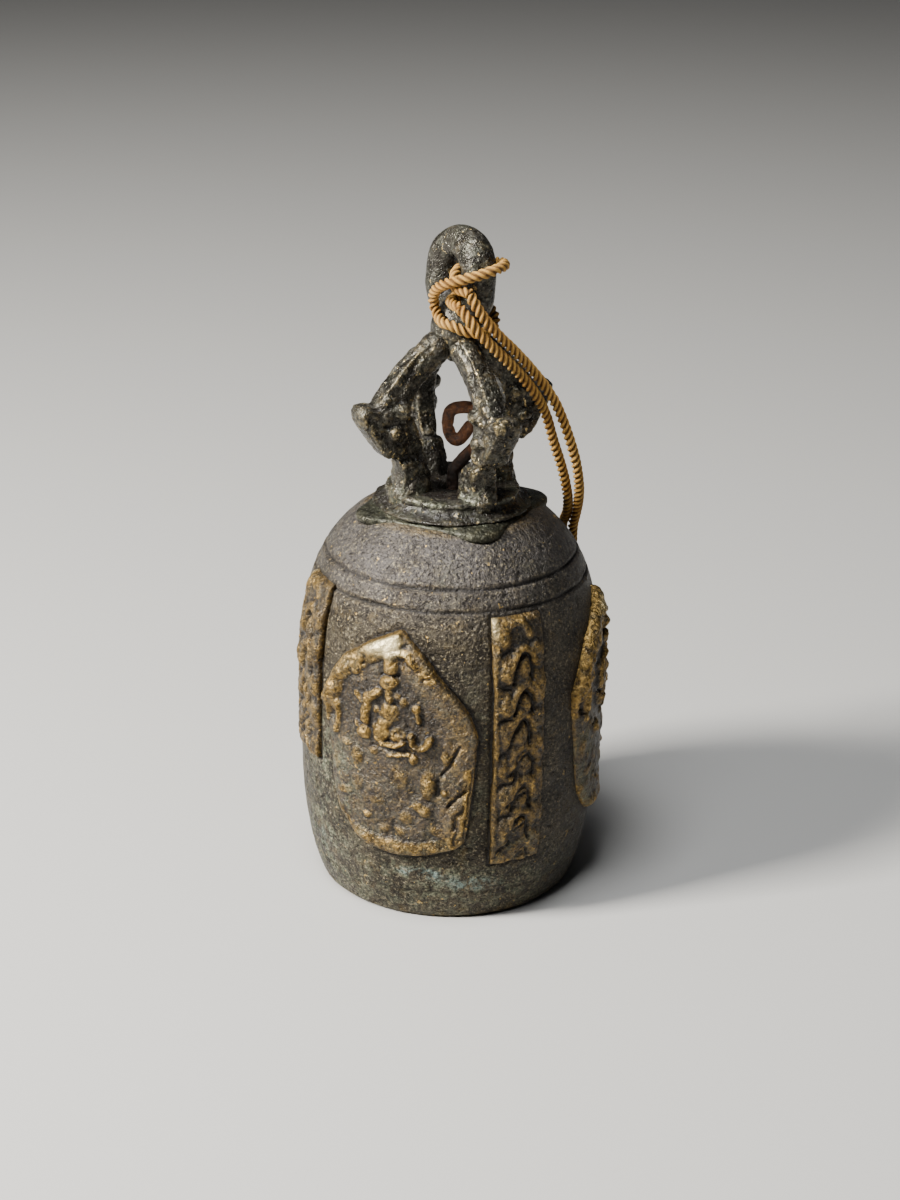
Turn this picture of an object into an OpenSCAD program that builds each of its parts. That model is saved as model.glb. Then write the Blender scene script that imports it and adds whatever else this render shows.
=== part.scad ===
// Cast bronze hanging bell: a barrel-shaped body with applied plaques and braided strips,
// a crown of four crested arms under a thick hanging ring, a loose iron hanger wire, an iron
// clapper on a link, and a doubled cord hitched to the ring.
// Millimetres, +Z up. The origin is the centre of the rim, on the surface the bell stands on.
// Azimuths are in degrees about +Z, counted from the front (-Y) towards +X.

/* [Bell body] */
// Largest radius of the bare wall
body_r = 26.7; // [26:0.1:28]
// Wall thickness
wall_t = 4; // [3:0.1:4.4]
// Depth of the turned lines
line_depth = 0.4; // [0.2:0.1:0.8]

/* [Plaques and strips] */
// How far a plaque stands off the wall
plaque_t = 1.9; // [0.8:0.1:2.2]
// How far a braided strip stands off the wall
strip_t = 1.3; // [0.6:0.1:2]
// Width of a braided strip
strip_w = 9.8; // [6:0.2:11]

/* [Crown] */
// Radius of the collar that the arms stand on
collar_r = 11.8; // [11.6:0.1:13]
// Thickness of an arm's limb
arm_t = 4; // [3:0.1:5]
// Thickness of an arm's crested head
head_t = 5.6; // [4:0.1:6]
// Radius of the hole that the hanger wire passes through
crown_hole_r = 2.4; // [2:0.1:3]

/* [Hanging ring] */
// Radius of the ring's bends, at the middle of the bar
ring_bend_r = 5.4; // [5:0.1:6]
// Radius of the ring's bar
ring_bar_r = 2.9; // [2.4:0.1:3]
// How far the ring leans to +X, in degrees
ring_lean = 4; // [0:1:6]

/* [Hanger and clapper] */
// Radius of the hanger wire
hanger_wire_r = 1.1; // [0.8:0.05:1.15]
// Radius of the link's wire
link_wire_r = 0.8; // [0.6:0.05:0.9]
// Radius of the clapper's rod
rod_r = 1.2; // [1:0.1:1.6]
// Largest radius of the clapper's bob
bob_r = 5.2; // [4:0.1:5.4]

/* [Cord] */
// Diameter of the cord
cord_d = 1.9; // [1.6:0.1:2]

/* [Hidden] */
ARM_NAMES = ["arm_left", "arm_front", "arm_right", "arm_back"];
PLAQUE_NAMES = ["plaque_front", "plaque_right", "plaque_back"];
STRIP_NAMES = ["strip_front", "strip_right", "strip_left"];
$fn = 72;

bronze = "#5b5346";
bronze_worn = "#8d7a4f";
bronze_dark = "#3d3a34";
rust = "#7a4526";
rope = "#c19a5b";

// Body: heights where the wall's curves begin, and how strongly they round
low_z = 30;
high_z = 40;
low_reach = 41.5;
high_reach = 33;
low_roundness = 3;
high_roundness = 2.6;
top_z = 70;
ceiling_z = 66.5;
wall_heights = [1, 3, 6, 9, 13, 18, 24, 30, 40, 45, 50, 54, 57, 60, 62, 64, 66, 67.5, 68.8, 70];
cavity_heights = [0, 4, 9, 14, 20, 26, 32, 40, 46, 52, 56, 59, 62, 64, 66.5];
line_heights = [6, 59, 62.5];
mouth_edge_r = 22.2;

// Crown
disc_r = 17;
disc_low = 68.6;
disc_corner_r = 4.4;
disc_turn = -10;
disc_top = 71.4;
collar_top = 74.2;
arm_azimuths = [-60, 30, 120, -150];
hub_low_z = 96.8;
hub_top_z = 103.2;
hub_low_r = 5.6;
hub_top_r = 4.6;
ring_straight = 2.8;
ring_z = 110.2;
ring_azimuth = 33;

// Applied pieces
plaque_azimuths = [-20.4, 85, 214];
strip_azimuths = [27, 148, -68];
strip_spans = [[12, 58], [11, 58], [27, 59.4]];

// Hanger, link and clapper
wire_gap = 0.25;
eye_r = 3;
eye_z = 61;
link_r = 3.4;
rod_eye_r = 2.6;
stem_top = 76.2;
hook_route = [
  [0, 0, 75.8], [0.7, 0, 77.2], [2.4, 0, 79.2], [4.2, 0, 81.2], [5.1, 0, 83.6], [5, 0, 86.2],
  [3.8, 0, 87.6], [1, 0, 87.8], [-0.6, 0, 87], [-1, 0, 84.8], [-0.4, 0, 82.6], [0.6, 0, 81.9],
  [1.6, 0, 82.6], [2.8, 0, 84.4]];
hook_sides = 12;
link_top_z = eye_z - eye_r + hanger_wire_r + link_wire_r + wire_gap;
link_z = link_top_z - link_r;
link_low_z = link_z - link_r;
rod_eye_wire_r = link_wire_r + 0.1;
rod_eye_z = link_low_z + link_wire_r + rod_eye_wire_r + wire_gap - rod_eye_r;
bob_low_z = 8;
bob_top_z = 21;

// Cord routes, from the hitch, over the shoulder, down behind the bell and along the ground
strand_routes = [
  [[2.4, -9, 110.2], [3.5, -9.3, 108.2], [5.2, -8.8, 105.6], [7.4, -7.6, 102.8], [10.2, -5.7, 99.6],
   [13, -3.4, 96], [15.6, -1.6, 92.3], [18, 0, 88], [20.2, 1.6, 82.2], [21.9, 3.6, 76],
   [22.6, 6.6, 70.4], [22.5, 10.2, 65.6], [22.1, 13.2, 61.2], [22.3, 14.9, 56], [23, 15.5, 48],
   [23.1, 15.6, 36], [23.1, 15.6, 24], [23.1, 15.7, 13], [23.2, 16.2, 6], [23.4, 18.2, 2.2],
   [23.2, 21.5, 1], [22, 26, 1], [20, 31, 1], [18, 36.4, 1.4]],
  [[0.8, -8.4, 107.6], [2.4, -9.3, 105.7], [4.3, -9, 103.3], [6.5, -8, 100.8], [9.1, -6.4, 97.9],
   [11.7, -4.3, 94.6], [14.1, -2.3, 90.9], [16, 0.4, 86.6], [17.6, 2.6, 81], [19.3, 5, 75.4],
   [20.6, 8, 69.6], [20.9, 11.6, 65], [20.3, 15.8, 60.8], [20.5, 17, 56], [21.4, 17.7, 48],
   [21.5, 17.8, 36], [21.5, 17.8, 24], [21.5, 17.9, 13], [21.5, 18.4, 6], [21.3, 20.6, 2.2],
   [20.4, 23.8, 1], [19, 28, 1], [17.2, 32.6, 1], [15.6, 36.8, 1.4]]
];
knot_at = [16.6, 39.2, 2.5];
knot_r = 2.4;
knot_tails = [[14.6, 45.4, 1.2], [18.4, 45, 1.2]];
hitch_places = [1, -30];
hitch_tilts = [-14, 0];
hitch_gap = 0.2;
cord_sides = 8;
cord_steps = 2;

// Outer radius of the bare wall at height z
function wall_r(z) =
  z < low_z ? body_r * pow(1 - pow((low_z - z) / low_reach, low_roundness), 1 / low_roundness) :
  z < high_z ? body_r :
  body_r * pow(1 - pow((z - high_z) / high_reach, high_roundness), 1 / high_roundness);

// Inner radius of the wall at height z
function cavity_r(z) =
  wall_r(z < high_z ? z : high_z + (z - high_z) * high_reach / (high_reach - wall_t)) - wall_t;

// A Catmull-Rom curve through route, with steps rings in each stretch
function on_curve(a, b, c, d, t) =
  0.5 * (2 * b + (c - a) * t + (2 * a - 5 * b + 4 * c - d) * t * t + (3 * b - a - 3 * c + d) * t * t * t);
function smooth_route(route, steps) = [
  for (i = [0 : len(route) - 2], s = [0 : steps - 1])
    on_curve(route[max(i - 1, 0)], route[i], route[i + 1], route[min(i + 2, len(route) - 1)], s / steps),
  route[len(route) - 1]
];
function unit(v) = v / norm(v);
function heading(path, i) = unit(path[min(i + 1, len(path) - 1)] - path[max(i - 1, 0)]);

// Rings of points round a path: side is carried along it, so that the tube never twists
function carried_side(path, i) =
  let (h = heading(path, i), s = i == 0 ? [1, 0, 0] : carried_side(path, i - 1)) unit(s - (s * h) * h);

module tube(path, diameter, sides) {
  rings = len(path);
  points = [
    for (i = [0 : rings - 1])
      let (h = heading(path, i), u = carried_side(path, i), v = cross(h, u))
        for (k = [0 : sides - 1])
          let (a = 360 * k / sides) path[i] + diameter / 2 * (cos(a) * u + sin(a) * v)
  ];
  walls = [
    for (i = [0 : rings - 2], k = [0 : sides - 1])
      let (n = (k + 1) % sides)
        [i * sides + k, (i + 1) * sides + k, (i + 1) * sides + n, i * sides + n]
  ];
  start_cap = [for (k = [0 : sides - 1]) k];
  end_cap = [for (k = [sides - 1 : -1 : 0]) (rings - 1) * sides + k];
  polyhedron(points = points, faces = concat([start_cap, end_cap], walls));
}

// Turns a shape made at the front (-Y) to an azimuth
module at_azimuth(azimuth) {
  rotate([0, 0, azimuth]) children();
}

// A full ring of round wire, standing up with its axis along Y
module wire_ring(r, wire_r) {
  rotate([90, 0, 0]) rotate_extrude($fn = 48) translate([r, 0]) circle(wire_r, $fn = 24);
}

// The body's outside as one solid, grown outwards by grow
module body_solid(grow = 0) {
  rotate_extrude()
    polygon(concat(
      [[0, 0], [mouth_edge_r + grow, 0]],
      [for (z = wall_heights) [wall_r(z) + grow, z]],
      [[0, top_z]]));
}

module bell_shell() {
  color(bronze) difference() {
    body_solid();
    rotate_extrude()
      polygon(concat(
        [[0, -1], [cavity_r(0), -1]],
        [for (z = cavity_heights) [cavity_r(z), z]],
        [[0, ceiling_z]]));
    cylinder(h = top_z + 1, r = crown_hole_r);
    for (z = line_heights)
      translate([0, 0, z]) rotate_extrude()
        translate([wall_r(z) + 0.1, 0]) circle(line_depth + 0.1, $fn = 16);
  }
}

// A plate with four rounded corners, one near each arm, rising to the collar
module crown_disc() {
  color(bronze_dark) difference() {
    hull() {
      for (azimuth = arm_azimuths)
        at_azimuth(azimuth + disc_turn) translate([0, disc_corner_r - disc_r, disc_low]) {
          cylinder(h = 1.5, r = disc_corner_r);
          cylinder(h = 1.9, r = disc_corner_r - 0.5);
        }
      translate([0, 0, disc_low]) cylinder(h = disc_top - disc_low, r = collar_r + 1.6);
    }
    body_solid();
    cylinder(h = collar_top, r = crown_hole_r);
  }
}

module crown_collar() {
  color(bronze) difference() {
    rotate_extrude()
      polygon([[0, disc_top], [collar_r + 1.5, disc_top], [collar_r + 0.5, disc_top + 0.7],
               [collar_r, disc_top + 1.6], [collar_r - 0.2, disc_top + 2.4],
               [collar_r - 0.9, collar_top], [0, collar_top]]);
    cylinder(h = collar_top + 1, r = crown_hole_r);
  }
}

// Side view of an arm: x is the distance from the bell's axis, y the height
module arm_side() {
  polygon([
    [4.8, collar_top], [5.6, 76.4], [6.8, 79], [8.6, 82], [9.6, 85], [9.6, 88.6], [8.8, 91],
    [7, 93.4], [4.6, 95.4], [2.9, 96.8], [0, 98], [0, 102], [4.3, 101.1], [8.1, 98.8], [11.1, 96],
    [13.8, 93], [15.8, 90.5], [17, 90.9], [18.8, 90.6], [19.4, 89.6], [19, 87.8], [16.9, 84.6],
    [15.1, 82], [13.3, 80.4], [11.5, 79.8], [11, 77.8], [11.2, 76], [11.6, collar_top]]);
}

// Side view of the head alone, which is thicker than the limb
module head_side() {
  polygon([
    [10.6, 81.6], [10.8, 88.6], [12.2, 91.6], [14, 92], [16, 90], [18.6, 90.2], [19, 88.6],
    [16.6, 84.9], [14.9, 82.4], [13.2, 80.6]]);
}

module arm(azimuth) {
  color(bronze) difference() {
    at_azimuth(azimuth - 90) rotate([90, 0, 0]) union() {
      linear_extrude(arm_t, center = true) arm_side();
      linear_extrude(head_t, center = true) head_side();
    }
    hub();
  }
}

// The knob where the arms meet, which carries the ring
module hub() {
  translate([0, 0, hub_low_z]) cylinder(h = hub_top_z - hub_low_z, r1 = hub_low_r, r2 = hub_top_r);
}

// The ring's own frame: leaning, turned to its azimuth, with its middle at the origin
module in_ring_frame() {
  translate([0, 0, hub_low_z]) rotate([0, ring_lean, 0]) translate([0, 0, ring_z - hub_low_z])
    at_azimuth(ring_azimuth - 90) children();
}

module hanging_ring() {
  color(bronze) {
    in_ring_frame() {
      for (up = [0, 180])
        rotate([0, up, 0]) translate([0, 0, ring_straight / 2]) rotate([90, 0, 0])
          rotate_extrude(angle = 180) translate([ring_bend_r, 0]) circle(ring_bar_r, $fn = 40);
      for (side = [-1, 1])
        translate([side * ring_bend_r, 0, 0])
          cylinder(h = ring_straight, r = ring_bar_r, center = true, $fn = 40);
    }
    hub();
  }
}

// Outline of a plaque, seen from the front: x runs along the wall, y is the height
module plaque_face() {
  polygon([
    [-6.4, 14.8], [-1.3, 13.7], [3.6, 13.8], [8.7, 14.9], [11.8, 16.2], [12.8, 18.1], [13.5, 26],
    [14.1, 34.4], [14.1, 38.2], [11.2, 43.2], [6.6, 49.7], [0.9, 55.6], [-5, 52.9], [-11.4, 48.1],
    [-14.1, 40.4], [-13.2, 34], [-12.6, 27], [-11.6, 21], [-9.6, 17.6]]);
}

// A piece laid on the wall: the wall's own shape, grown by thickness, where the outline is
module on_wall(azimuth, thickness) {
  difference() {
    intersection() {
      body_solid(thickness);
      at_azimuth(azimuth) rotate([90, 0, 0]) linear_extrude(2 * body_r) children();
    }
    body_solid();
  }
}

module plaque(azimuth) {
  color(bronze_worn) on_wall(azimuth, plaque_t) plaque_face();
}

module strip(azimuth, span) {
  color(bronze_worn) on_wall(azimuth, strip_t)
    translate([-strip_w / 2, span[0]]) square([strip_w, span[1] - span[0]]);
}

// Iron wire: an eye for the link below the ceiling, a stem through the crown and a bent hook
module hanger_wire() {
  color(rust) {
    translate([0, 0, eye_z]) wire_ring(eye_r, hanger_wire_r);
    translate([0, 0, eye_z + eye_r]) cylinder(h = stem_top - eye_z - eye_r, r = hanger_wire_r, $fn = 24);
    tube(smooth_route(hook_route, cord_steps), 2 * hanger_wire_r, hook_sides);
  }
}

module clapper_link() {
  color(rust) translate([0, 0, link_z]) rotate([0, 0, 90]) wire_ring(link_r, link_wire_r);
}

module clapper_rod() {
  color(rust) {
    translate([0, 0, rod_eye_z]) wire_ring(rod_eye_r, rod_eye_wire_r);
    translate([0, 0, bob_top_z]) cylinder(h = rod_eye_z - rod_eye_r - bob_top_z, r = rod_r, $fn = 24);
  }
}

module clapper_bob() {
  color(rust) rotate_extrude()
    polygon([
      [0, bob_low_z], [2.6, bob_low_z + 0.2], [4.4, bob_low_z + 1.6], [bob_r, bob_low_z + 4],
      [bob_r - 0.3, bob_low_z + 6.2], [3.6, bob_low_z + 9], [2.2, bob_low_z + 11.4],
      [rod_r + 0.4, bob_top_z], [0, bob_top_z]]);
}

// One turn of the cord round the ring's front bar. A place above 0 is a height on the bar's
// straight, and one below 0 is an angle down its lower bend.
module hitch_turn(place, tilt) {
  turn_r = ring_bar_r + cord_d / 2 + hitch_gap;
  bend = max(-place, 0);
  height = place < 0 ? -ring_straight / 2 - ring_bend_r * sin(bend) : place;
  translate([ring_bend_r * cos(bend), 0, height])
    rotate([0, bend + tilt, 0])
      rotate_extrude($fn = 48) translate([turn_r, 0]) circle(cord_d / 2, $fn = 16);
}

module cord_hitch() {
  color(rope) in_ring_frame()
    for (i = [0 : len(hitch_places) - 1]) hitch_turn(hitch_places[i], hitch_tilts[i]);
}

module cord_strand(i) {
  color(rope) tube(smooth_route(strand_routes[i], cord_steps), cord_d, cord_sides);
}

// The two strands' ends are tied together behind the bell, with two short tails
module cord_knot() {
  color(rope) {
    translate(knot_at) sphere(knot_r, $fn = 32);
    for (tail = knot_tails)
      tube([knot_at, (knot_at + tail) / 2, tail], cord_d, cord_sides);
  }
}

bell_shell();
crown_disc();
crown_collar();
hanging_ring();
for (i = [0 : len(ARM_NAMES) - 1]) arm(arm_azimuths[i]);
for (i = [0 : len(PLAQUE_NAMES) - 1])
  plaque(plaque_azimuths[i]);
for (i = [0 : len(STRIP_NAMES) - 1])
  strip(strip_azimuths[i], strip_spans[i]);
hanger_wire();
clapper_link();
clapper_rod();
clapper_bob();
cord_hitch();
cord_strand(0);  // cord_strand_1
cord_strand(1);  // cord_strand_2
cord_knot();
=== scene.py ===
"""A small cast bronze hanging bell, dressed over its CAD frame: worn relief plaques and braided
strips, a crown of crested arms under a thick ring, an iron hanger and clapper, and a twisted cord.
Shapes are worked out in millimetres, in the frame's axes, and scaled to metres as they are built."""
import math
import bmesh
import bpy
import numpy as np
from mathutils import Matrix, Vector


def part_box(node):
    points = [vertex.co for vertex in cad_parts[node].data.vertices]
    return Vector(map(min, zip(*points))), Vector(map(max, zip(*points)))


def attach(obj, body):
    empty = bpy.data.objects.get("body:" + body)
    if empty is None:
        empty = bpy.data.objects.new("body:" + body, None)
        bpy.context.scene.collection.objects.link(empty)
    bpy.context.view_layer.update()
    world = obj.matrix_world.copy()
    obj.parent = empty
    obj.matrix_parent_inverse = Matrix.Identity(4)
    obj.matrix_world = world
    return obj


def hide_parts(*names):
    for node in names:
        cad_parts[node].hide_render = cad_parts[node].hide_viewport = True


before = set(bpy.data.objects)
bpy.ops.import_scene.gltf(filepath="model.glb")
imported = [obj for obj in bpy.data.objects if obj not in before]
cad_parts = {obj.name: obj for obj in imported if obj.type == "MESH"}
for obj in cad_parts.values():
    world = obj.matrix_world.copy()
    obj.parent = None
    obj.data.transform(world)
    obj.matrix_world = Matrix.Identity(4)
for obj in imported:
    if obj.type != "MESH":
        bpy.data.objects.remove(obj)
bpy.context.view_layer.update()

MM = 0.001


def box_mm(node):
    """Low and high corners of a CAD node's box, in millimetres."""
    low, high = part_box(node)
    return np.array(low) / MM, np.array(high) / MM


# ---------------------------------------------------------------- sizes taken from the frame
SHELL_LOW, SHELL_HIGH = box_mm("bell_shell")
BODY_R = (SHELL_HIGH[0] - SHELL_LOW[0]) / 2
TOP_Z = SHELL_HIGH[2]
DISC_LOW, DISC_TOP = box_mm("crown_disc")[0][2], box_mm("crown_disc")[1][2]
COLLAR_R = box_mm("crown_collar")[1][0] - 1.5
COLLAR_TOP = box_mm("crown_collar")[1][2]
LINK_LOW, LINK_HIGH = box_mm("clapper_link")
ROD_LOW, ROD_HIGH = box_mm("clapper_rod")
BOB_LOW, BOB_HIGH = box_mm("clapper_bob")
CORD_D = 1.9

# The wall's curve: heights where it starts to round below and above, and how strongly
LOW_Z, HIGH_Z = 30, 40
LOW_REACH, HIGH_REACH = 41.5, 33
LOW_ROUND, HIGH_ROUND = 3, 2.6
WALL_T = 4
CEILING_Z = 66.5
CROWN_HOLE_R = 2.4
# The crown's plate: reach of its corners, their roundness, the azimuth in degrees of one corner,
# how far the cast edge swells past it, and the radius inside which the plate stays round
PLATE_R = 17
PLATE_CORNER_R = 4.4
PLATE_AZIMUTH = 20
PLATE_CORNER_HALF = math.radians(11.2)
PLATE_SWELL = 0.5
PLATE_ROOT_R = 12
# Near-black for dark grain, for patina in low spots and for painted shade
SOOT_AND_SHADE = (0.009, 0.007, 0.006)


def wall_r(z):
    """Outer radius of the bare wall at height z."""
    low = (1 - np.clip((LOW_Z - z) / LOW_REACH, 0, 1) ** LOW_ROUND) ** (1 / LOW_ROUND)
    high = (1 - np.clip((z - HIGH_Z) / HIGH_REACH, 0, 1) ** HIGH_ROUND) ** (1 / HIGH_ROUND)
    return BODY_R * np.minimum(low, high)


def cavity_r(z):
    """Inner radius of the wall at height z."""
    stretched = HIGH_Z + (z - HIGH_Z) * HIGH_REACH / (HIGH_REACH - WALL_T)
    return wall_r(np.where(z < HIGH_Z, z, stretched)) - WALL_T


# ---------------------------------------------------------------- camera, lights and floor
CAMERA_DISTANCE = 0.42
CAMERA_ELEVATION = math.radians(22)
CAMERA_ROLL = math.radians(0.93)
AIM = Vector((-0.0001, 0, 0.0518))


def place_camera():
    """The camera at the photograph's angle, turned a little about its axis."""
    data = bpy.data.cameras.new("camera")
    data.lens = 70.44
    data.sensor_width = 36
    data.clip_start = 0.01
    camera = bpy.data.objects.new("camera", data)
    bpy.context.collection.objects.link(camera)
    back = Vector((0, -math.cos(CAMERA_ELEVATION), math.sin(CAMERA_ELEVATION)))
    level_right = Vector((1, 0, 0))
    level_up = back.cross(level_right)
    right = level_right * math.cos(CAMERA_ROLL) + level_up * math.sin(CAMERA_ROLL)
    up = back.cross(right)
    turn = Matrix((right, up, back)).transposed().to_4x4()
    camera.matrix_world = Matrix.Translation(AIM + back * CAMERA_DISTANCE) @ turn
    bpy.context.scene.camera = camera


def area_light(name, azimuth, elevation, distance, size, energy, color):
    """A square soft light aimed at the bell; azimuth is counted from the front towards +X."""
    data = bpy.data.lights.new(name, "AREA")
    data.size = size
    data.energy = energy
    data.color = color
    light = bpy.data.objects.new(name, data)
    bpy.context.collection.objects.link(light)
    a, e = math.radians(azimuth), math.radians(elevation)
    toward = Vector((math.sin(a) * math.cos(e), -math.cos(a) * math.cos(e), math.sin(e)))
    light.location = AIM + toward * distance
    light.rotation_euler = toward.to_track_quat("Z", "Y").to_euler()


def set_stage():
    """Soft studio light, and a pale floor."""
    area_light("key", -66, 36, 0.7, 0.14, 19, (1.0, 0.97, 0.91))
    area_light("overhead", -28, 70, 0.75, 0.3, 6.5, (0.96, 0.98, 1.0))
    area_light("back_fill", -170, 50, 1.0, 0.6, 0.42, (0.95, 0.97, 1.0))
    world = bpy.data.worlds.new("soft_room")
    world.use_nodes = True
    background = world.node_tree.nodes["Background"]
    background.inputs["Color"].default_value = (0.82, 0.87, 0.95, 1)
    background.inputs["Strength"].default_value = 0.030
    bpy.context.scene.world = world

    floor_half = 3.0
    mesh = bpy.data.meshes.new("floor")
    mesh.from_pydata([(-floor_half, -floor_half, 0), (floor_half, -floor_half, 0),
                      (floor_half, floor_half, 0), (-floor_half, floor_half, 0)], [], [(0, 1, 2, 3)])
    floor = bpy.data.objects.new("floor", mesh)
    bpy.context.collection.objects.link(floor)
    paint = bpy.data.materials.new("pale_floor")
    paint.use_nodes = True
    shader = paint.node_tree.nodes["Principled BSDF"]
    shader.inputs["Base Color"].default_value = (0.42, 0.413, 0.398, 1)
    shader.inputs["Roughness"].default_value = 0.75
    mesh.materials.append(paint)


# ---------------------------------------------------------------- noise
def hashed(x, y, z, seed):
    """A number from 0 to 1 for each whole-numbered cell."""
    h = (x * 374761393 + y * 668265263 + z * 1442695041 + seed * 974634777) & 0xFFFFFFFF
    h = ((h ^ (h >> 13)) * 1274126177) & 0xFFFFFFFF
    return ((h ^ (h >> 16)) & 0xFFFF) / 65535.0


def noise(points, size, seed):
    """Smooth noise from -1 to 1 with bumps about size millimetres across."""
    q = np.asarray(points, float) / size
    cell = np.floor(q).astype(np.int64)
    f = q - cell
    f = f * f * (3 - 2 * f)
    total = np.zeros(len(q))
    for dx in (0, 1):
        for dy in (0, 1):
            for dz in (0, 1):
                weight = np.abs(1 - dx - f[:, 0]) * np.abs(1 - dy - f[:, 1]) * np.abs(1 - dz - f[:, 2])
                total += weight * hashed(cell[:, 0] + dx, cell[:, 1] + dy, cell[:, 2] + dz, seed)
    return 2 * total - 1


def rough(points, size, seed, octaves=3):
    """Noise summed over octaves, from about -1 to 1."""
    total, weight = 0, 0
    for k in range(octaves):
        total = total + noise(points, size / 2 ** k, seed + 31 * k) * 0.5 ** k
        weight += 0.5 ** k
    return total / weight


def step(low, high, value):
    """Rises smoothly from 0 at low to 1 at high; low may be the larger one."""
    t = np.clip((value - low) / (high - low), 0, 1)
    return t * t * (3 - 2 * t)


# ---------------------------------------------------------------- mesh building
def grid_faces(rows, columns, wrap_rows=False, wrap_columns=False):
    """Four-sided faces over a grid of points, closed on itself where it wraps."""
    i = np.arange(rows if wrap_rows else rows - 1)
    j = np.arange(columns if wrap_columns else columns - 1)
    i, j = np.meshgrid(i, j, indexing="ij")
    i2, j2 = (i + 1) % rows, (j + 1) % columns
    corners = [i * columns + j, i * columns + j2, i2 * columns + j2, i2 * columns + j]
    return np.stack(corners, -1).reshape(-1, 4).tolist()


def mesh_of(name, points, faces):
    """A mesh in millimetres with its faces turned outwards."""
    mesh = bpy.data.meshes.new(name)
    mesh.from_pydata(np.asarray(points, float).tolist(), [], faces)
    work = bmesh.new()
    work.from_mesh(mesh)
    bmesh.ops.recalc_face_normals(work, faces=work.faces)
    work.to_mesh(mesh)
    work.free()
    mesh.update()
    return mesh


def read_points(mesh):
    values = np.empty(len(mesh.vertices) * 3)
    mesh.vertices.foreach_get("co", values)
    return values.reshape(-1, 3)


def write_points(mesh, points):
    mesh.vertices.foreach_set("co", np.asarray(points, float).ravel())
    mesh.update()


def read_normals(mesh):
    values = np.empty(len(mesh.vertices) * 3)
    mesh.vertex_normals.foreach_get("vector", values)
    return values.reshape(-1, 3)


def hollowness(mesh, passes):
    """How far each point lies below (+) or above (-) the smoothed surface, in millimetres."""
    edges = np.empty(len(mesh.edges) * 2, np.int64)
    mesh.edges.foreach_get("vertices", edges)
    a, b = edges.reshape(-1, 2).T
    points, normals = read_points(mesh), read_normals(mesh)
    count = len(points)
    degree = np.maximum(np.bincount(a, minlength=count) + np.bincount(b, minlength=count), 1)
    smooth = points.copy()
    for _ in range(passes):
        summed = np.stack([
            np.bincount(a, smooth[b, k], count) + np.bincount(b, smooth[a, k], count) for k in range(3)], 1)
        smooth = 0.5 * smooth + 0.5 * summed / degree[:, None]
    return ((smooth - points) * normals).sum(1)


def mark(mesh, name, values):
    """Stores one number per point, for the materials to read."""
    mesh.attributes.new(name, "FLOAT", "POINT").data.foreach_set("value", np.asarray(values, np.float32))


def finish_piece(mesh, name, nodes, body, material):
    """Scales a mesh to metres and makes it a piece that stands for its CAD nodes."""
    write_points(mesh, read_points(mesh) * MM)
    mesh.polygons.foreach_set("use_smooth", [True] * len(mesh.polygons))
    mesh.materials.append(material)
    piece = bpy.data.objects.new(name, mesh)
    bpy.context.collection.objects.link(piece)
    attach(piece, body)
    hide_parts(*nodes)
    return piece


def carried_frames(path):
    """Two side directions carried along a path without twist."""
    heading = np.gradient(path, axis=0)
    heading /= np.linalg.norm(heading, axis=1)[:, None]
    side = np.empty_like(path)
    start = np.array([0.31, 0.12, 0.94]) if abs(heading[0][2]) < 0.9 else np.array([1.0, 0, 0])
    for i, h in enumerate(heading):
        start = start - (start @ h) * h
        start = start / np.linalg.norm(start)
        side[i] = start
    return side, np.cross(heading, side)


def directions_round(path, angle):
    """At each point of a path, the outward directions at the given angles round it."""
    side, up = carried_frames(path)
    return np.cos(angle)[None, :, None] * side[:, None] + np.sin(angle)[None, :, None] * up[:, None]


def tube_faces(rings, sides):
    """Faces of a tube, with a cap at each end."""
    last = (rings - 1) * sides
    caps = [list(range(sides)), list(range(last, last + sides))]
    return grid_faces(rings, sides, wrap_columns=True) + caps


def smooth_path(points, per_stretch):
    """A Catmull-Rom curve through points."""
    p = np.array(points, float)
    p = np.vstack([p[0], p, p[-1]])
    t = np.linspace(0, 1, per_stretch, endpoint=False)[:, None]
    out = []
    for a, b, c, d in zip(p, p[1:], p[2:], p[3:]):
        out.append(0.5 * (2 * b + (c - a) * t + (2 * a - 5 * b + 4 * c - d) * t ** 2
                          + (3 * b - a - 3 * c + d) * t ** 3))
    return np.vstack(out + [p[-1:]])


def even_path(path, spacing):
    """The same path with its points evenly spaced."""
    run = np.concatenate([[0], np.cumsum(np.linalg.norm(np.diff(path, axis=0), axis=1))])
    count = max(int(round(run[-1] / spacing)), 4)
    places = np.linspace(0, run[-1], count + 1)
    return np.stack([np.interp(places, run, path[:, k]) for k in range(path.shape[1])], 1)


END_RINGS = 4


def round_ends(path, radii):
    """Adds shrinking rings, so that a tube closes in round ends."""
    lean = np.arange(1, END_RINGS + 1) / END_RINGS * math.pi / 2
    first = (path[0] - path[1]) / np.linalg.norm(path[0] - path[1])
    last = (path[-1] - path[-2]) / np.linalg.norm(path[-1] - path[-2])
    start = path[0] + np.outer(np.sin(lean), first) * radii[0]
    end = path[-1] + np.outer(np.sin(lean), last) * radii[-1]
    shrink = np.maximum(np.cos(lean), 0.02)
    return (np.vstack([start[::-1], path, end]),
            np.concatenate([radii[0] * shrink[::-1], radii, radii[-1] * shrink]))


def tube(path, radii, sides):
    """Points and faces of a closed tube with round ends."""
    radii = np.broadcast_to(np.asarray(radii, float), (len(path),))
    path, radii = round_ends(np.asarray(path, float), radii)
    ring = directions_round(path, np.linspace(0, 2 * math.pi, sides, endpoint=False))
    points = (path[:, None] + ring * radii[:, None, None]).reshape(-1, 3)
    return points, tube_faces(len(path), sides)


def joined(parts):
    """Several (points, faces) as one."""
    points, faces, base = [], [], 0
    for p, f in parts:
        points.append(p)
        faces += [[base + k for k in face] for face in f]
        base += len(p)
    return np.vstack(points), faces


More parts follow.
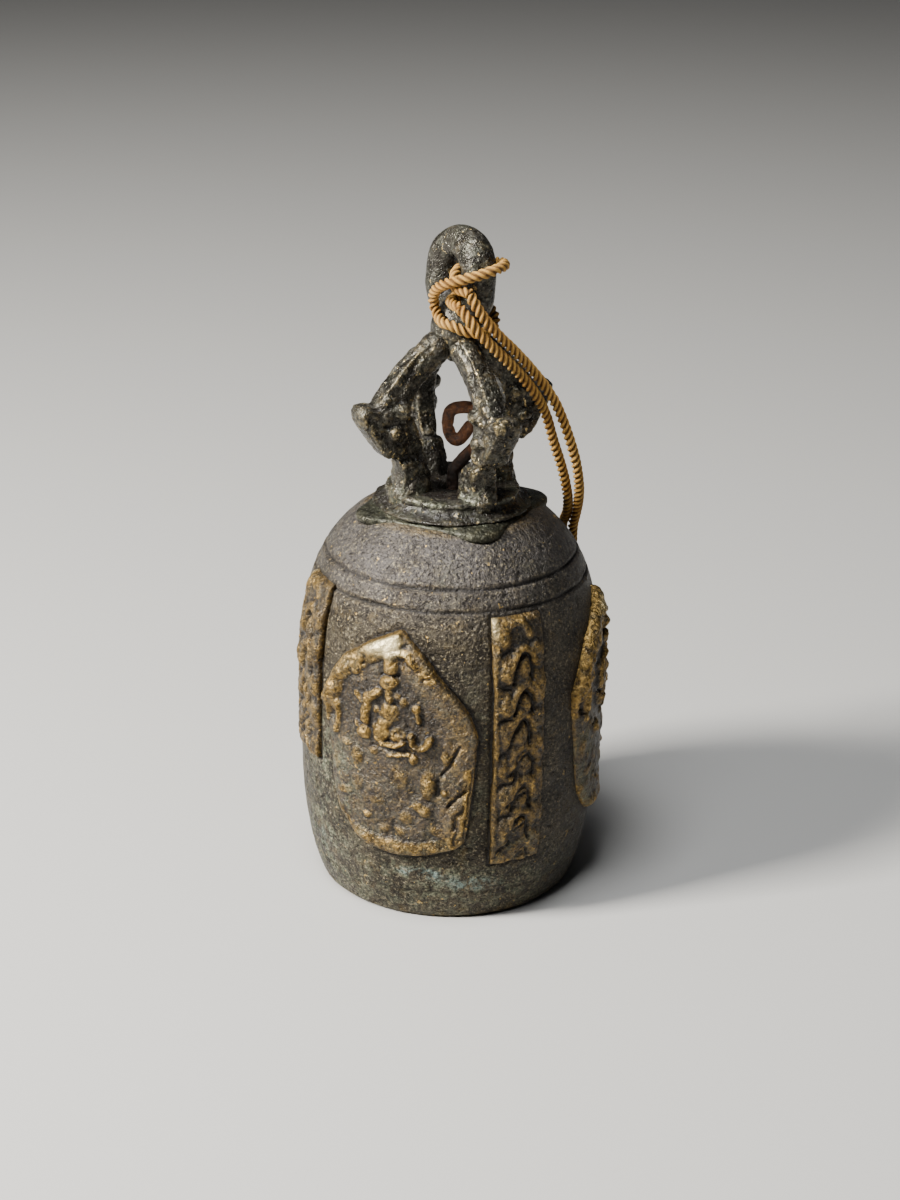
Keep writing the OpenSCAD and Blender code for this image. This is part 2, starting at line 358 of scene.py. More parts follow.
def melted(parts, voxel, smoothing):
    """Overlapping closed shapes melted into one even skin, as wax parts are before casting."""
    points, faces = joined(parts)
    source = bpy.data.objects.new("melting", mesh_of("melting", points, faces))
    bpy.context.collection.objects.link(source)
    remesh = source.modifiers.new("remesh", "REMESH")
    remesh.mode = "VOXEL"
    remesh.voxel_size = voxel
    soften = source.modifiers.new("soften", "SMOOTH")
    soften.iterations = smoothing
    bpy.context.view_layer.update()
    result = bpy.data.meshes.new_from_object(source.evaluated_get(bpy.context.evaluated_depsgraph_get()))
    bpy.data.objects.remove(source)
    return result


# ---------------------------------------------------------------- materials
class Surface:
    """A material under construction, with short calls for the nodes that it uses."""

    def __init__(self, name):
        self.material = bpy.data.materials.new(name)
        self.material.use_nodes = True
        self.tree = self.material.node_tree
        self.shader = self.tree.nodes["Principled BSDF"]
        self.where = self.tree.nodes.new("ShaderNodeTexCoord").outputs["Object"]

    def put(self, socket, value):
        if isinstance(value, bpy.types.NodeSocket):
            self.tree.links.new(value, socket)
        elif isinstance(value, tuple):
            socket.default_value = (*value, 1) if len(value) == 3 else value
        else:
            socket.default_value = value

    def attribute(self, name):
        node = self.tree.nodes.new("ShaderNodeAttribute")
        node.attribute_name = name
        return node.outputs["Fac"]

    def noise(self, size_mm, detail=4, roughness=0.55, distortion=0.0, where=None):
        node = self.tree.nodes.new("ShaderNodeTexNoise")
        node.inputs["Scale"].default_value = 1 / (size_mm * MM)
        node.inputs["Detail"].default_value = detail
        node.inputs["Roughness"].default_value = roughness
        node.inputs["Distortion"].default_value = distortion
        self.put(node.inputs["Vector"], where or self.where)
        return node.outputs["Fac"]

    def spread(self, value, low, high, to_low=0.0, to_high=1.0):
        node = self.tree.nodes.new("ShaderNodeMapRange")
        node.interpolation_type = "SMOOTHSTEP"
        for name, number in (("Value", value), ("From Min", low), ("From Max", high),
                             ("To Min", to_low), ("To Max", to_high)):
            self.put(node.inputs[name], number)
        return node.outputs["Result"]

    def math(self, operation, a, b=0.0, clamp=False):
        node = self.tree.nodes.new("ShaderNodeMath")
        node.operation = operation
        node.use_clamp = clamp
        self.put(node.inputs[0], a)
        self.put(node.inputs[1], b)
        return node.outputs[0]

    def mix(self, share, a, b):
        """Colour a, turning into colour b as share goes from 0 to 1."""
        node = self.tree.nodes.new("ShaderNodeMix")
        node.data_type = "RGBA"
        self.put(node.inputs["Factor"], share)
        colors = [s for s in node.inputs if s.type == "RGBA"]
        self.put(colors[0], a)
        self.put(colors[1], b)
        return [s for s in node.outputs if s.type == "RGBA"][0]

    def bump(self, height, depth_mm, under=None):
        node = self.tree.nodes.new("ShaderNodeBump")
        node.inputs["Strength"].default_value = 1
        node.inputs["Distance"].default_value = depth_mm * MM
        self.put(node.inputs["Height"], height)
        if under:
            self.put(node.inputs["Normal"], under)
        return node.outputs["Normal"]


def bronze(name, dark, middle, light, gold, sheen, wear_gain=1.0, fleck=0.70, grain=0.3):
    """Old patinated bronze. The pieces carry marks: wear on high spots, a mark in low ones for dark patina
    that also carries painted shade, verdigris where it has gone green, tint where the patina is greyish,
    and a mark for bare metal that also carries painted highlights."""
    s = Surface(name)
    broad = s.noise(6.5, 6, 0.6, 0.4)
    mottle = s.noise(1.7, 8, 0.65)
    grit = s.noise(0.5, 4, 0.65)
    color = s.mix(s.spread(broad, 0.36, 0.64), dark, middle)
    color = s.mix(s.spread(mottle, 0.5, 0.68, 0, 0.7), color, light)
    ochre = s.spread(s.noise(3.4, 6, 0.7, 0.3), 0.54, 0.68, 0, 0.55)
    color = s.mix(ochre, color, tuple(0.55 * c for c in gold))
    gray = s.math("MULTIPLY", s.attribute("tint"), s.spread(broad, 0.25, 0.6, 0.3, 0.85))
    color = s.mix(gray, color, (0.092, 0.084, 0.080))

    patchy = s.spread(s.noise(2.2, 7, 0.7, 0.6), 0.42, 0.62)
    green = s.math("MULTIPLY", s.attribute("verdigris"), patchy)
    olive = s.mix(s.spread(grit, 0.4, 0.6), (0.085, 0.095, 0.058), (0.21, 0.225, 0.15))
    chalky = s.mix(s.spread(grit, 0.4, 0.6), (0.10, 0.14, 0.125), (0.24, 0.32, 0.29))
    color = s.mix(green, color, s.mix(s.spread(s.attribute("verdigris"), 0.65, 1.0), olive, chalky))

    wear = s.math("MULTIPLY", s.attribute("wear"), s.spread(mottle, 0.36, 0.56, 0.15, wear_gain))
    wear = s.math("MULTIPLY", wear, s.spread(grit, 0.34, 0.5, 0.35, 1.0), clamp=True)
    color = s.mix(wear, color, gold)
    glint = s.math("MULTIPLY", wear, s.spread(s.noise(0.75, 5, 0.7), 0.5, 0.6), clamp=True)
    specks = s.spread(s.noise(1.1, 2, 0.5, 0.3), fleck, fleck + 0.03)
    patches = s.spread(s.noise(2.8, 5, 0.65, 0.8), fleck - 0.015, fleck)
    glint = s.math("MAXIMUM", glint, s.math("MAXIMUM", specks, patches), clamp=True)
    color = s.mix(glint, color, tuple(2.3 * c for c in gold))
    color = s.mix(s.spread(grit, 0.56, 0.64, 0, 2.6 * grain), color, tuple(2.4 * c for c in light))
    color = s.mix(s.spread(grit, 0.46, 0.37, 0, 2.8 * grain), color, SOOT_AND_SHADE)
    # Dark patina in low spots, and painted shade where a piece marks it, both in near-black
    hollow_and_shade = s.math("MULTIPLY", s.attribute("hollow_and_shade"), 0.92, clamp=True)
    color = s.mix(hollow_and_shade, color, SOOT_AND_SHADE)
    # Bare metal on worn tops, with a painted highlight on the front plaque's apex and the strips' upper left
    # corners
    bare_and_highlight = s.math("MULTIPLY", s.attribute("bare_and_highlight"), s.spread(mottle, 0.34, 0.5, 0.35, 1.0))
    color = s.mix(bare_and_highlight, color, (0.90, 0.76, 0.43))
    s.put(s.shader.inputs["Base Color"], color)

    bare = s.math("SUBTRACT", 1.0, s.math("MAXIMUM", green, hollow_and_shade))
    metal = s.spread(s.math("MAXIMUM", wear, glint), 0, 1, 0.62, 0.92)
    s.put(s.shader.inputs["Metallic"], s.math("MULTIPLY", bare, metal))
    s.shader.inputs["Specular IOR Level"].default_value = 0.3
    gloss = s.spread(mottle, 0.3, 0.7, sheen - 0.1, sheen + 0.14)
    s.put(s.shader.inputs["Roughness"], s.math("ADD", gloss, s.math("MULTIPLY", green, 0.3), clamp=True))
    pitted = s.bump(s.spread(s.noise(1.2, 3, 0.6), 0.42, 0.55), 0.12)
    grainy = s.bump(grit, grain, under=pitted)
    s.put(s.shader.inputs["Normal"], s.bump(s.noise(0.16, 3, 0.6), 0.15 * grain, under=grainy))
    return s.material


def rusty_iron():
    s = Surface("rusty_iron")
    flake = s.noise(1.3, 7, 0.65, 0.5)
    fine = s.noise(0.3, 5, 0.7)
    color = s.mix(s.spread(flake, 0.35, 0.6), (0.030, 0.015, 0.009), (0.15, 0.056, 0.021))
    color = s.mix(s.spread(fine, 0.5, 0.72), color, (0.27, 0.115, 0.043))
    color = s.mix(s.spread(s.noise(2.6, 4), 0.6, 0.68, 0, 0.7), color, (0.05, 0.043, 0.04))
    # Near-black where the low-spot mark is set: painted shade
    color = s.mix(s.attribute("hollow_and_shade"), color, (0.010, 0.007, 0.005))
    s.put(s.shader.inputs["Base Color"], color)
    s.put(s.shader.inputs["Roughness"], s.spread(flake, 0.3, 0.7, 0.6, 0.9))
    s.shader.inputs["Metallic"].default_value = 0.15
    s.put(s.shader.inputs["Normal"], s.bump(fine, 0.12, under=s.bump(flake, 0.25)))
    return s.material


def twisted_cord():
    """Waxed hemp: fibres run along each of the three strands, with painted shade down between them."""
    s = Surface("twisted_cord")
    lay = s.tree.nodes.new("ShaderNodeAttribute")
    lay.attribute_name = "lay"
    fibre = s.noise(1000, 3, 0.6, where=lay.outputs["Vector"])
    patch = s.noise(5, 4)
    color = s.mix(s.spread(fibre, 0.3, 0.7), (0.26, 0.115, 0.020), (0.66, 0.40, 0.10))
    color = s.mix(s.spread(patch, 0.42, 0.66, 0, 0.55), color, (0.33, 0.145, 0.022))
    # Painted shade in the grooves between the strands
    color = s.mix(s.math("MULTIPLY", s.attribute("hollow_and_shade"), 0.85, clamp=True), color, (0.05, 0.018, 0.004))
    s.put(s.shader.inputs["Base Color"], color)
    s.shader.inputs["Roughness"].default_value = 0.62
    s.shader.inputs["Specular IOR Level"].default_value = 0.25
    s.put(s.shader.inputs["Normal"], s.bump(fibre, 0.10))
    return s.material


# ---------------------------------------------------------------- the cord
STRAND_ROUTES = [
    [[2.4, -9, 110.2], [3.5, -9.3, 108.2], [5.2, -8.8, 105.6], [7.4, -7.6, 102.8], [10.2, -5.7, 99.6],
     [13, -3.4, 96], [15.6, -1.6, 92.3], [18, 0, 88], [20.2, 1.6, 82.2], [21.9, 3.6, 76],
     [22.6, 6.6, 70.4], [22.5, 10.2, 65.6], [22.1, 13.2, 61.2], [22.3, 14.9, 56], [23, 15.5, 48],
     [23.1, 15.6, 36], [23.1, 15.6, 24], [23.1, 15.7, 13], [23.2, 16.2, 6], [23.4, 18.2, 2.2],
     [23.2, 21.5, 1], [22, 26, 1], [20, 31, 1], [18, 36.4, 1.4]],
    [[0.8, -8.4, 107.6], [2.4, -9.3, 105.7], [4.3, -9, 103.3], [6.5, -8, 100.8], [9.1, -6.4, 97.9],
     [11.7, -4.3, 94.6], [14.1, -2.3, 90.9], [16, 0.4, 86.6], [17.6, 2.6, 81], [19.3, 5, 75.4],
     [20.6, 8, 69.6], [20.9, 11.6, 65], [20.3, 15.8, 60.8], [20.5, 17, 56], [21.4, 17.7, 48],
     [21.5, 17.8, 36], [21.5, 17.8, 24], [21.5, 17.9, 13], [21.5, 18.4, 6], [21.3, 20.6, 2.2],
     [20.4, 23.8, 1], [19, 28, 1], [17.2, 32.6, 1], [15.6, 36.8, 1.4]],
]
# The hitch in the ring's own frame: round the back of the bar, across the front over both
# strands in a bight, and round the bar again lower down
HITCH_ROUTE = [
    [5.3, -4.3, 0.4], [4.0, -4.0, 1.4], [2.6, -3.0, 2.4], [1.6, -1.0, 3.0], [1.6, 1.2, 3.4],
    [3.2, 3.3, 3.9], [5.8, 3.95, 4.4], [8.3, 2.7, 4.6], [9.35, 0.3, 4.3], [8.7, -2.3, 3.4],
    [7.0, -4.6, 2.3], [4.8, -6.0, 1.2], [2.4, -6.2, -0.2], [0.4, -5.6, -2.0], [-0.3, -4.9, -3.8],
    [0.6, -4.6, -5.4], [2.7, -4.9, -6.1], [5.0, -4.5, -6.1], [6.9, -2.7, -6.8], [7.7, 0.0, -7.0],
    [7.2, 2.0, -6.5], [6.0, 3.5, -5.6], [4.4, 4.0, -4.5], [2.8, 3.4, -3.4], [1.5, 1.9, -2.6],
    [1.2, 0.0, -2.2], [1.6, -2.0, -2.3], [2.9, -3.7, -2.5], [4.9, -4.3, -2.6]]
RING_LEAN = math.radians(4)
RING_TURN = math.radians(33 - 90)
HUB_LOW_Z = 96.8
RING_Z = 110.2
RING_BEND_R = 5.4
RING_BAR_R = 2.9
RING_STRAIGHT = 2.8
KNOT_AT = np.array([16.6, 39.2, 2.2])
TAIL_HAIRS = 16


def from_ring(points):
    """Points in the ring's own frame as points in the bell's."""
    x, y, z = np.asarray(points, float).T
    x, y = (x * math.cos(RING_TURN) - y * math.sin(RING_TURN),
            x * math.sin(RING_TURN) + y * math.cos(RING_TURN))
    z = z + RING_Z - HUB_LOW_Z
    x, z = (x * math.cos(RING_LEAN) + z * math.sin(RING_LEAN),
            z * math.cos(RING_LEAN) - x * math.sin(RING_LEAN) + HUB_LOW_Z)
    return np.stack([x, y, z], 1)


def to_ring(points):
    """Points in the bell's frame as points in the ring's own."""
    x, y, z = np.asarray(points, float).T
    z = z - HUB_LOW_Z
    x, z = (x * math.cos(RING_LEAN) - z * math.sin(RING_LEAN),
            z * math.cos(RING_LEAN) + x * math.sin(RING_LEAN) + HUB_LOW_Z - RING_Z)
    x, y = (x * math.cos(RING_TURN) + y * math.sin(RING_TURN),
            y * math.cos(RING_TURN) - x * math.sin(RING_TURN))
    return np.stack([x, y, z], 1)


# The cord's mesh, the length of one full twist, and each yarn's radius and distance from the middle
CORD_STEP = 0.17
CORD_SIDES = 36
CORD_LAY = 3.8
YARN_R = 0.44
YARN_OUT = 0.51
CORD_CORE_SHARE = 0.6


def cord_section(angle):
    """Radius of a three-strand cord at an angle round it, and how deep that is in a groove."""
    off = (angle + math.pi / 3) % (2 * math.pi / 3) - math.pi / 3
    yarn = np.sqrt(np.maximum(YARN_R ** 2 - (YARN_OUT * np.sin(off)) ** 2, 0))
    radius = np.maximum(YARN_OUT * np.cos(off) + yarn, CORD_CORE_SHARE * CORD_D / 2)
    return radius, 1 - step(0.68, 0.95, radius / (CORD_D / 2))


def mark_lay(mesh, lay):
    """Stores the place in the fibres of each point, for the cord's material to read."""
    data = mesh.attributes.new("lay", "FLOAT_VECTOR", "POINT").data
    data.foreach_set("vector", lay.astype(np.float32).ravel())


def cord_mesh(name, path, run):
    """A twisted cord along path; run is the length before it, which sets where the twist starts."""
    gaps = np.linalg.norm(np.diff(path, axis=0), axis=1)
    along = np.concatenate([[0], np.cumsum(gaps)]) + run
    angle = np.linspace(0, 2 * math.pi, CORD_SIDES, endpoint=False)
    twist = 2 * math.pi * along / CORD_LAY
    radius, groove = cord_section(angle[None] - twist[:, None])
    ring = directions_round(path, angle)
    points = (path[:, None] + ring * radius[:, :, None]).reshape(-1, 3)
    lift = 0.03 * noise(points, 0.5, 5) + 0.05 * rough(points, 3, 9)
    points = points + ring.reshape(-1, 3) * lift[:, None]
    mesh = mesh_of(name, points, tube_faces(len(path), CORD_SIDES))
    # How deep each point lies in a groove, kept for the painted shade there
    mark(mesh, "hollow_and_shade", groove.ravel())
    around = (angle[None] - twist[:, None]) * 3
    lay = np.stack([np.sin(around * 2) * 6, np.cos(around * 2) * 6,
                    np.broadcast_to(along[:, None] * 0.45, around.shape)], -1)
    mark_lay(mesh, lay)
    return mesh, along[-1]


def make_cord():
    material = twisted_cord()
    knot = knot_piece(material)
    first = smooth_path(STRAND_ROUTES[0], 8)[::-1]
    second = smooth_path(STRAND_ROUTES[1], 8)
    hitch = smooth_path(
        np.vstack([STRAND_ROUTES[0][1], STRAND_ROUTES[0][0], from_ring(HITCH_ROUTE),
                   STRAND_ROUTES[1][0], STRAND_ROUTES[1][1]]), 8)[8:-8]
    run = 0
    for name, route in (("cord_strand_1", first), ("cord_hitch", hitch), ("cord_strand_2", second)):
        path = even_path(route, CORD_STEP)
        mesh, run = cord_mesh(name, path, run)
        piece = finish_piece(mesh, name + "_twisted", [name], "root", material)
        if name == "cord_hitch":
            continue


def knot_piece(material):
    """Both strands pass through a wrapping of three turns, and end in short frayed tails."""
    ahead = np.array([-0.15, 1, 0]) / math.hypot(0.15, 1)
    across = np.array([ahead[1], -ahead[0], 0])
    upward = np.array([0, 0, 1.0])
    turns, wrap_r, wrap_long = 3.2, 1.75, 4.6
    t = np.linspace(0, 1, 90)
    angle = 2 * math.pi * turns * t
    wrap = (KNOT_AT + np.outer((t - 0.5) * wrap_long, ahead)
            + np.outer(wrap_r * 1.05 * np.cos(angle), across)
            + np.outer(wrap_r * 0.82 * np.sin(angle), upward))
    parts, grooves, lays = [], [], []

    def add_cord(path):
        mesh, _ = cord_mesh("part", even_path(path, CORD_STEP), 0)
        hollow_and_shade = np.empty(len(mesh.vertices))
        mesh.attributes["hollow_and_shade"].data.foreach_get("value", hollow_and_shade)
        lay = np.empty(len(mesh.vertices) * 3)
        mesh.attributes["lay"].data.foreach_get("vector", lay)
        parts.append((read_points(mesh), [list(p.vertices) for p in mesh.polygons]))
        grooves.append(hollow_and_shade)
        lays.append(lay.reshape(-1, 3))

    add_cord(wrap)
    for i, (x, tail_x) in enumerate(((18, 18.4), (15.6, 14.6))):
        inner = KNOT_AT + across * (0.55 if i == 0 else -0.55) - upward * 0.4
        end = np.array([tail_x, 44.6 + 0.6 * i, 1.1])
        add_cord(smooth_path([[x, 36.6, 1.4], inner - ahead * 1.4, inner + ahead * 1.4, end], 10))
        for k in range(TAIL_HAIRS):
            lean = 2 * math.pi * k / TAIL_HAIRS
            reach = 1.6 + 0.9 * math.sin(5.3 * k + i)
            spread = np.array([math.cos(lean) * 1.0, 0, math.sin(lean) * 0.55])
            start = end + spread * 0.45 - ahead * 0.6
            tip = end + ahead * reach + spread * (0.9 + 0.35 * math.sin(2.1 * k))
            tip[2] = max(tip[2], 0.25)
            hair = smooth_path([start, (start + tip) / 2 + spread * 0.15, tip], 5)
            points, faces = tube(hair, np.linspace(0.15, 0.07, len(hair)), 6)
            parts.append((points, faces))
            grooves.append(np.full(len(points), 0.15))
            lays.append(points * 0.8)
    points, faces = joined(parts)
    points[:, 2] = np.maximum(points[:, 2], 0.05)
    mesh = mesh_of("cord_knot", points, faces)
    mark(mesh, "hollow_and_shade", np.concatenate(grooves))
    mark_lay(mesh, np.vstack(lays))
    return finish_piece(mesh, "cord_knot_tied", ["cord_knot"], "root", material)


# ---------------------------------------------------------------- cast pieces
def cast_piece(mesh, name, nodes, material, wear=0.10, hollow_and_shade=0.10, verdigris=0.0, tint=0.0,
               polish=0.9, shade=0.0):
    """Marks a mesh's high and low spots, adds any painted shade given as shade, and finishes it as a piece
    of the bell's root body. wear and the low-spot depth are the heights in millimetres that count in full;
    polish scales the wear; shade, from 0 to 1, is painted shade added to the low-spot mark, with the wear
    taken away there."""
    low = hollowness(mesh, 10)
    count = len(mesh.vertices)
    mark(mesh, "wear", np.clip(-low / wear - 0.25, 0, 1) * polish * (1 - np.clip(shade, 0, 1)))
    # Low spots get dark patina; shade adds painted shade on top of it
    mark(mesh, "hollow_and_shade", np.clip(np.clip(low / hollow_and_shade - 0.2, 0, 1) + shade, 0, 1))
    mark(mesh, "verdigris", np.broadcast_to(verdigris, count))
    mark(mesh, "tint", np.broadcast_to(tint, count))
    mark(mesh, "bare_and_highlight", np.zeros(count))
    return finish_piece(mesh, name, nodes, "root", material)


def on_bell(azimuth, radius, z):
    """A point of the bell from its azimuth in radians, radius and height."""
    return np.stack([radius * np.sin(azimuth), -radius * np.cos(azimuth), z], -1)


def revolved(profile, columns, relief):
    """A closed profile of (radius, height) turned round Z; relief(azimuth, r, z, row) moves the
    surface outwards."""
    profile = np.asarray(profile, float)
    rows = len(profile)
    tangent = np.roll(profile, -1, 0) - np.roll(profile, 1, 0)
    tangent /= np.linalg.norm(tangent, axis=1)[:, None]
    normal = np.stack([tangent[:, 1], -tangent[:, 0]], 1)
    azimuth = np.linspace(-math.pi, math.pi, columns, endpoint=False)
    a, row = np.meshgrid(azimuth, np.arange(rows))
    a, row = a.ravel(), row.ravel()
    r, z = profile[row].T
    lift = relief(a, r, z, row)
    points = on_bell(a, r + normal[row, 0] * lift, z + normal[row, 1] * lift)
    return points, grid_faces(rows, columns, wrap_rows=True, wrap_columns=True)


def spot(azimuth, z, at_azimuth, at_z, wide, high):
    """A soft patch on the wall: azimuths in degrees, sizes in millimetres."""
    across = (np.degrees(azimuth) - at_azimuth + 180) % 360 - 180
    return np.exp(-(np.radians(across) * BODY_R / wide) ** 2 - ((z - at_z) / high) ** 2)


def turned_line(azimuth, z, at_z, depth, wide, seed):
    """A line cut on the lathe, a little wavy and worn away in places."""
    ring = on_bell(azimuth, BODY_R, np.zeros_like(z))
    middle = at_z + 0.14 * noise(ring, 9, seed)
    fade = 0.75 + 0.45 * noise(ring, 5, seed + 1)
    cut = np.exp(-((z - middle) / wide) ** 2)
    lip = np.exp(-((np.abs(z - middle) - 2.2 * wide) / wide) ** 2)
    return -depth * fade * cut + 0.12 * depth * lip


def along_wall(azimuth, middle):
    """Distance along the wall from the azimuth of middle, which is in degrees."""
    return ((azimuth - math.radians(middle) + math.pi) % (2 * math.pi) - math.pi) * BODY_R


def beside_applied(azimuth, z):
    """How near a point of the wall is to the edge of a plaque or strip: 1 in the joint itself."""
    joint = np.zeros_like(z)
    for _, middle in PLAQUES:
        x = along_wall(azimuth, middle)
        reach = outline_radius(PLAQUE_OUTLINE, PLAQUE_MIDDLE, np.arctan2(z - PLAQUE_MIDDLE, x))
        off = np.hypot(x, z - PLAQUE_MIDDLE) - reach
        # The right-hand edge counts in full: there the wall sinks deepest, and the shell paints its darkest
        # shadow beside the plaque
        open_side = 0.35 + 0.65 * step(-8, -2, x)
        joint = np.maximum(joint, open_side * np.exp(-((off - 0.15) / 0.5) ** 2))
    for _, middle, low_z, high_z in STRIPS:
        x = along_wall(azimuth, middle)
        off = np.maximum(np.abs(x) - STRIP_EDGE, np.maximum(low_z - z, z - high_z))
        joint = np.maximum(joint, 0.9 * np.exp(-((off - 0.15) / 0.4) ** 2))
    return joint


# Height and noise seed of each line turned on the shoulder
SHOULDER_LINES = [(62.5, 41), (59, 47)]


def make_shell(material):
    """The bell's body: a wall with its turned lines, a rim and a plain inside."""
    outside_z = np.arange(0.7, 69.95, 0.29)
    outside = np.stack([wall_r(outside_z), outside_z], 1)
    crown = [[14.4, TOP_Z + 0.1], [12, TOP_Z + 0.3], [8, TOP_Z + 0.3], [CROWN_HOLE_R, TOP_Z],
             [CROWN_HOLE_R, 68.2], [CROWN_HOLE_R, CEILING_Z], [6, CEILING_Z], [9, CEILING_Z]]
    inside_z = np.concatenate([[66.2, 65.4, 64.2], np.arange(63, 0.6, -0.75)])
    inside = np.stack([cavity_r(inside_z), inside_z], 1)
    inner_edge, outer_edge = cavity_r(0), wall_r(0) - 0.6
    rim = [[inner_edge + 0.1, 0.25], [inner_edge + 0.5, 0.02]]
    rim += [[r, 0.0] for r in np.linspace(inner_edge + 1, outer_edge - 0.3, 6)]
    rim += [[outer_edge + 0.1, 0.05], [outer_edge + 0.45, 0.3]]
    profile = np.vstack([outside, crown, inside, rim])
    outside_rows = len(outside)

    def relief(a, r, z, row):
        p = on_bell(a, r, z)
        wall = row < outside_rows
        inner = (row >= outside_rows + len(crown)) & (z > 1)
        lift = 0.13 * rough(p, 11, 3) + 0.05 * rough(p, 2.4, 7) + 0.025 * noise(p, 0.8, 11)
        lift -= 0.16 * step(0.5, 0.85, noise(p, 1.3, 19))
        for at_z, seed in SHOULDER_LINES:
            lift += turned_line(a, z, at_z, 0.55, 0.28, seed)
        lift += turned_line(a, z, 6, 0.2, 0.35, 53)
        lift -= 0.7 * spot(a, z, -57, 50.5, 0.45, 6.5) + 0.3 * beside_applied(a, z)
        lift *= wall
        return lift + inner * (0.16 * rough(p, 5, 23) + 0.06 * rough(p, 1.2, 29, 2))

    points, faces = revolved(profile, 600, relief)
    mesh = mesh_of("bell_shell", points, faces)
    a, z = np.arctan2(points[:, 0], -points[:, 1]), points[:, 2]
    outer = np.hypot(points[:, 0], points[:, 1]) > wall_r(np.clip(z, 0, TOP_Z)) - 1.5
    green = (0.75 * spot(a, z, -57, 29, 5, 8) + 0.7 * spot(a, z, -60, 12, 9, 7)
             + 0.9 * spot(a, z, -12, 10.4, 6, 1.6) + 0.6 * spot(a, z, 12, 8, 9, 2.5)
             + 0.35 * spot(a, z, 10, 28, 3.5, 16) + 0.4 * step(16, 4, z)
             + 0.25 * spot(a, z, 150, 20, 20, 14) + 0.4 * spot(a, z, -120, 12, 12, 8))
    green = np.clip(green + 0.25 * rough(points, 8, 61), 0, 1) * outer
    tint = np.clip(step(52, 66, z) + 0.25 * rough(points, 9, 67), 0, 1) * outer
    # Painted shade in the two turned lines on the shoulder
    lines = -sum(turned_line(a, z, at_z, 1.1, 0.3, seed) for at_z, seed in SHOULDER_LINES)
    # Painted shadow along the joints round the plaques and strips, strongest on their right-hand side, and
    # in the crack beside the left strip
    joint = np.maximum(beside_applied(a, z), spot(a, z, -57, 50.5, 0.5, 7))
    joint = np.clip(np.maximum(joint, lines), 0, 1)
    # Painted shade over the bell's right side, round 68 degrees, and a little on the wall right of the front
    # plaque, with some noise
    painted_side_shade = 0.6 * spot(a, z, 68, 30, 17, 60) + 0.25 * spot(a, z, 8, 40, 9, 14)
    painted_side_shade = painted_side_shade + 0.15 * rough(points, 6, 73)
    # Outside, all this painted shade goes into the low-spot mark; the inside, the rim's underside and the
    # top under the crown are darker throughout
    painted_shade_and_dark_inside = np.where(outer, np.clip(0.75 * joint + painted_side_shade, 0, 1), 0.35 + 0.3 * rough(points, 6, 71))
    cast_piece(mesh, "bell_shell_cast", ["bell_shell"], material,
               wear=0.25, hollow_and_shade=0.14, verdigris=green, tint=tint, polish=0.45, shade=painted_shade_and_dark_inside)


def plate_reach(azimuth):
    """How far the crown's plate reaches: a square with round corners near the arms."""
    off = (azimuth - math.radians(PLATE_AZIMUTH) + math.pi / 4) % (math.pi / 2) - math.pi / 4
    middle = PLATE_R - PLATE_CORNER_R
    rounding = np.sqrt(np.maximum(PLATE_CORNER_R ** 2 - (middle * np.sin(off)) ** 2, 0))
    corner = middle * np.cos(off) + rounding
    side = (middle * math.cos(math.pi / 4) + PLATE_CORNER_R) / np.cos(math.pi / 4 - np.abs(off))
    return np.where(np.abs(off) < PLATE_CORNER_HALF, corner, side)


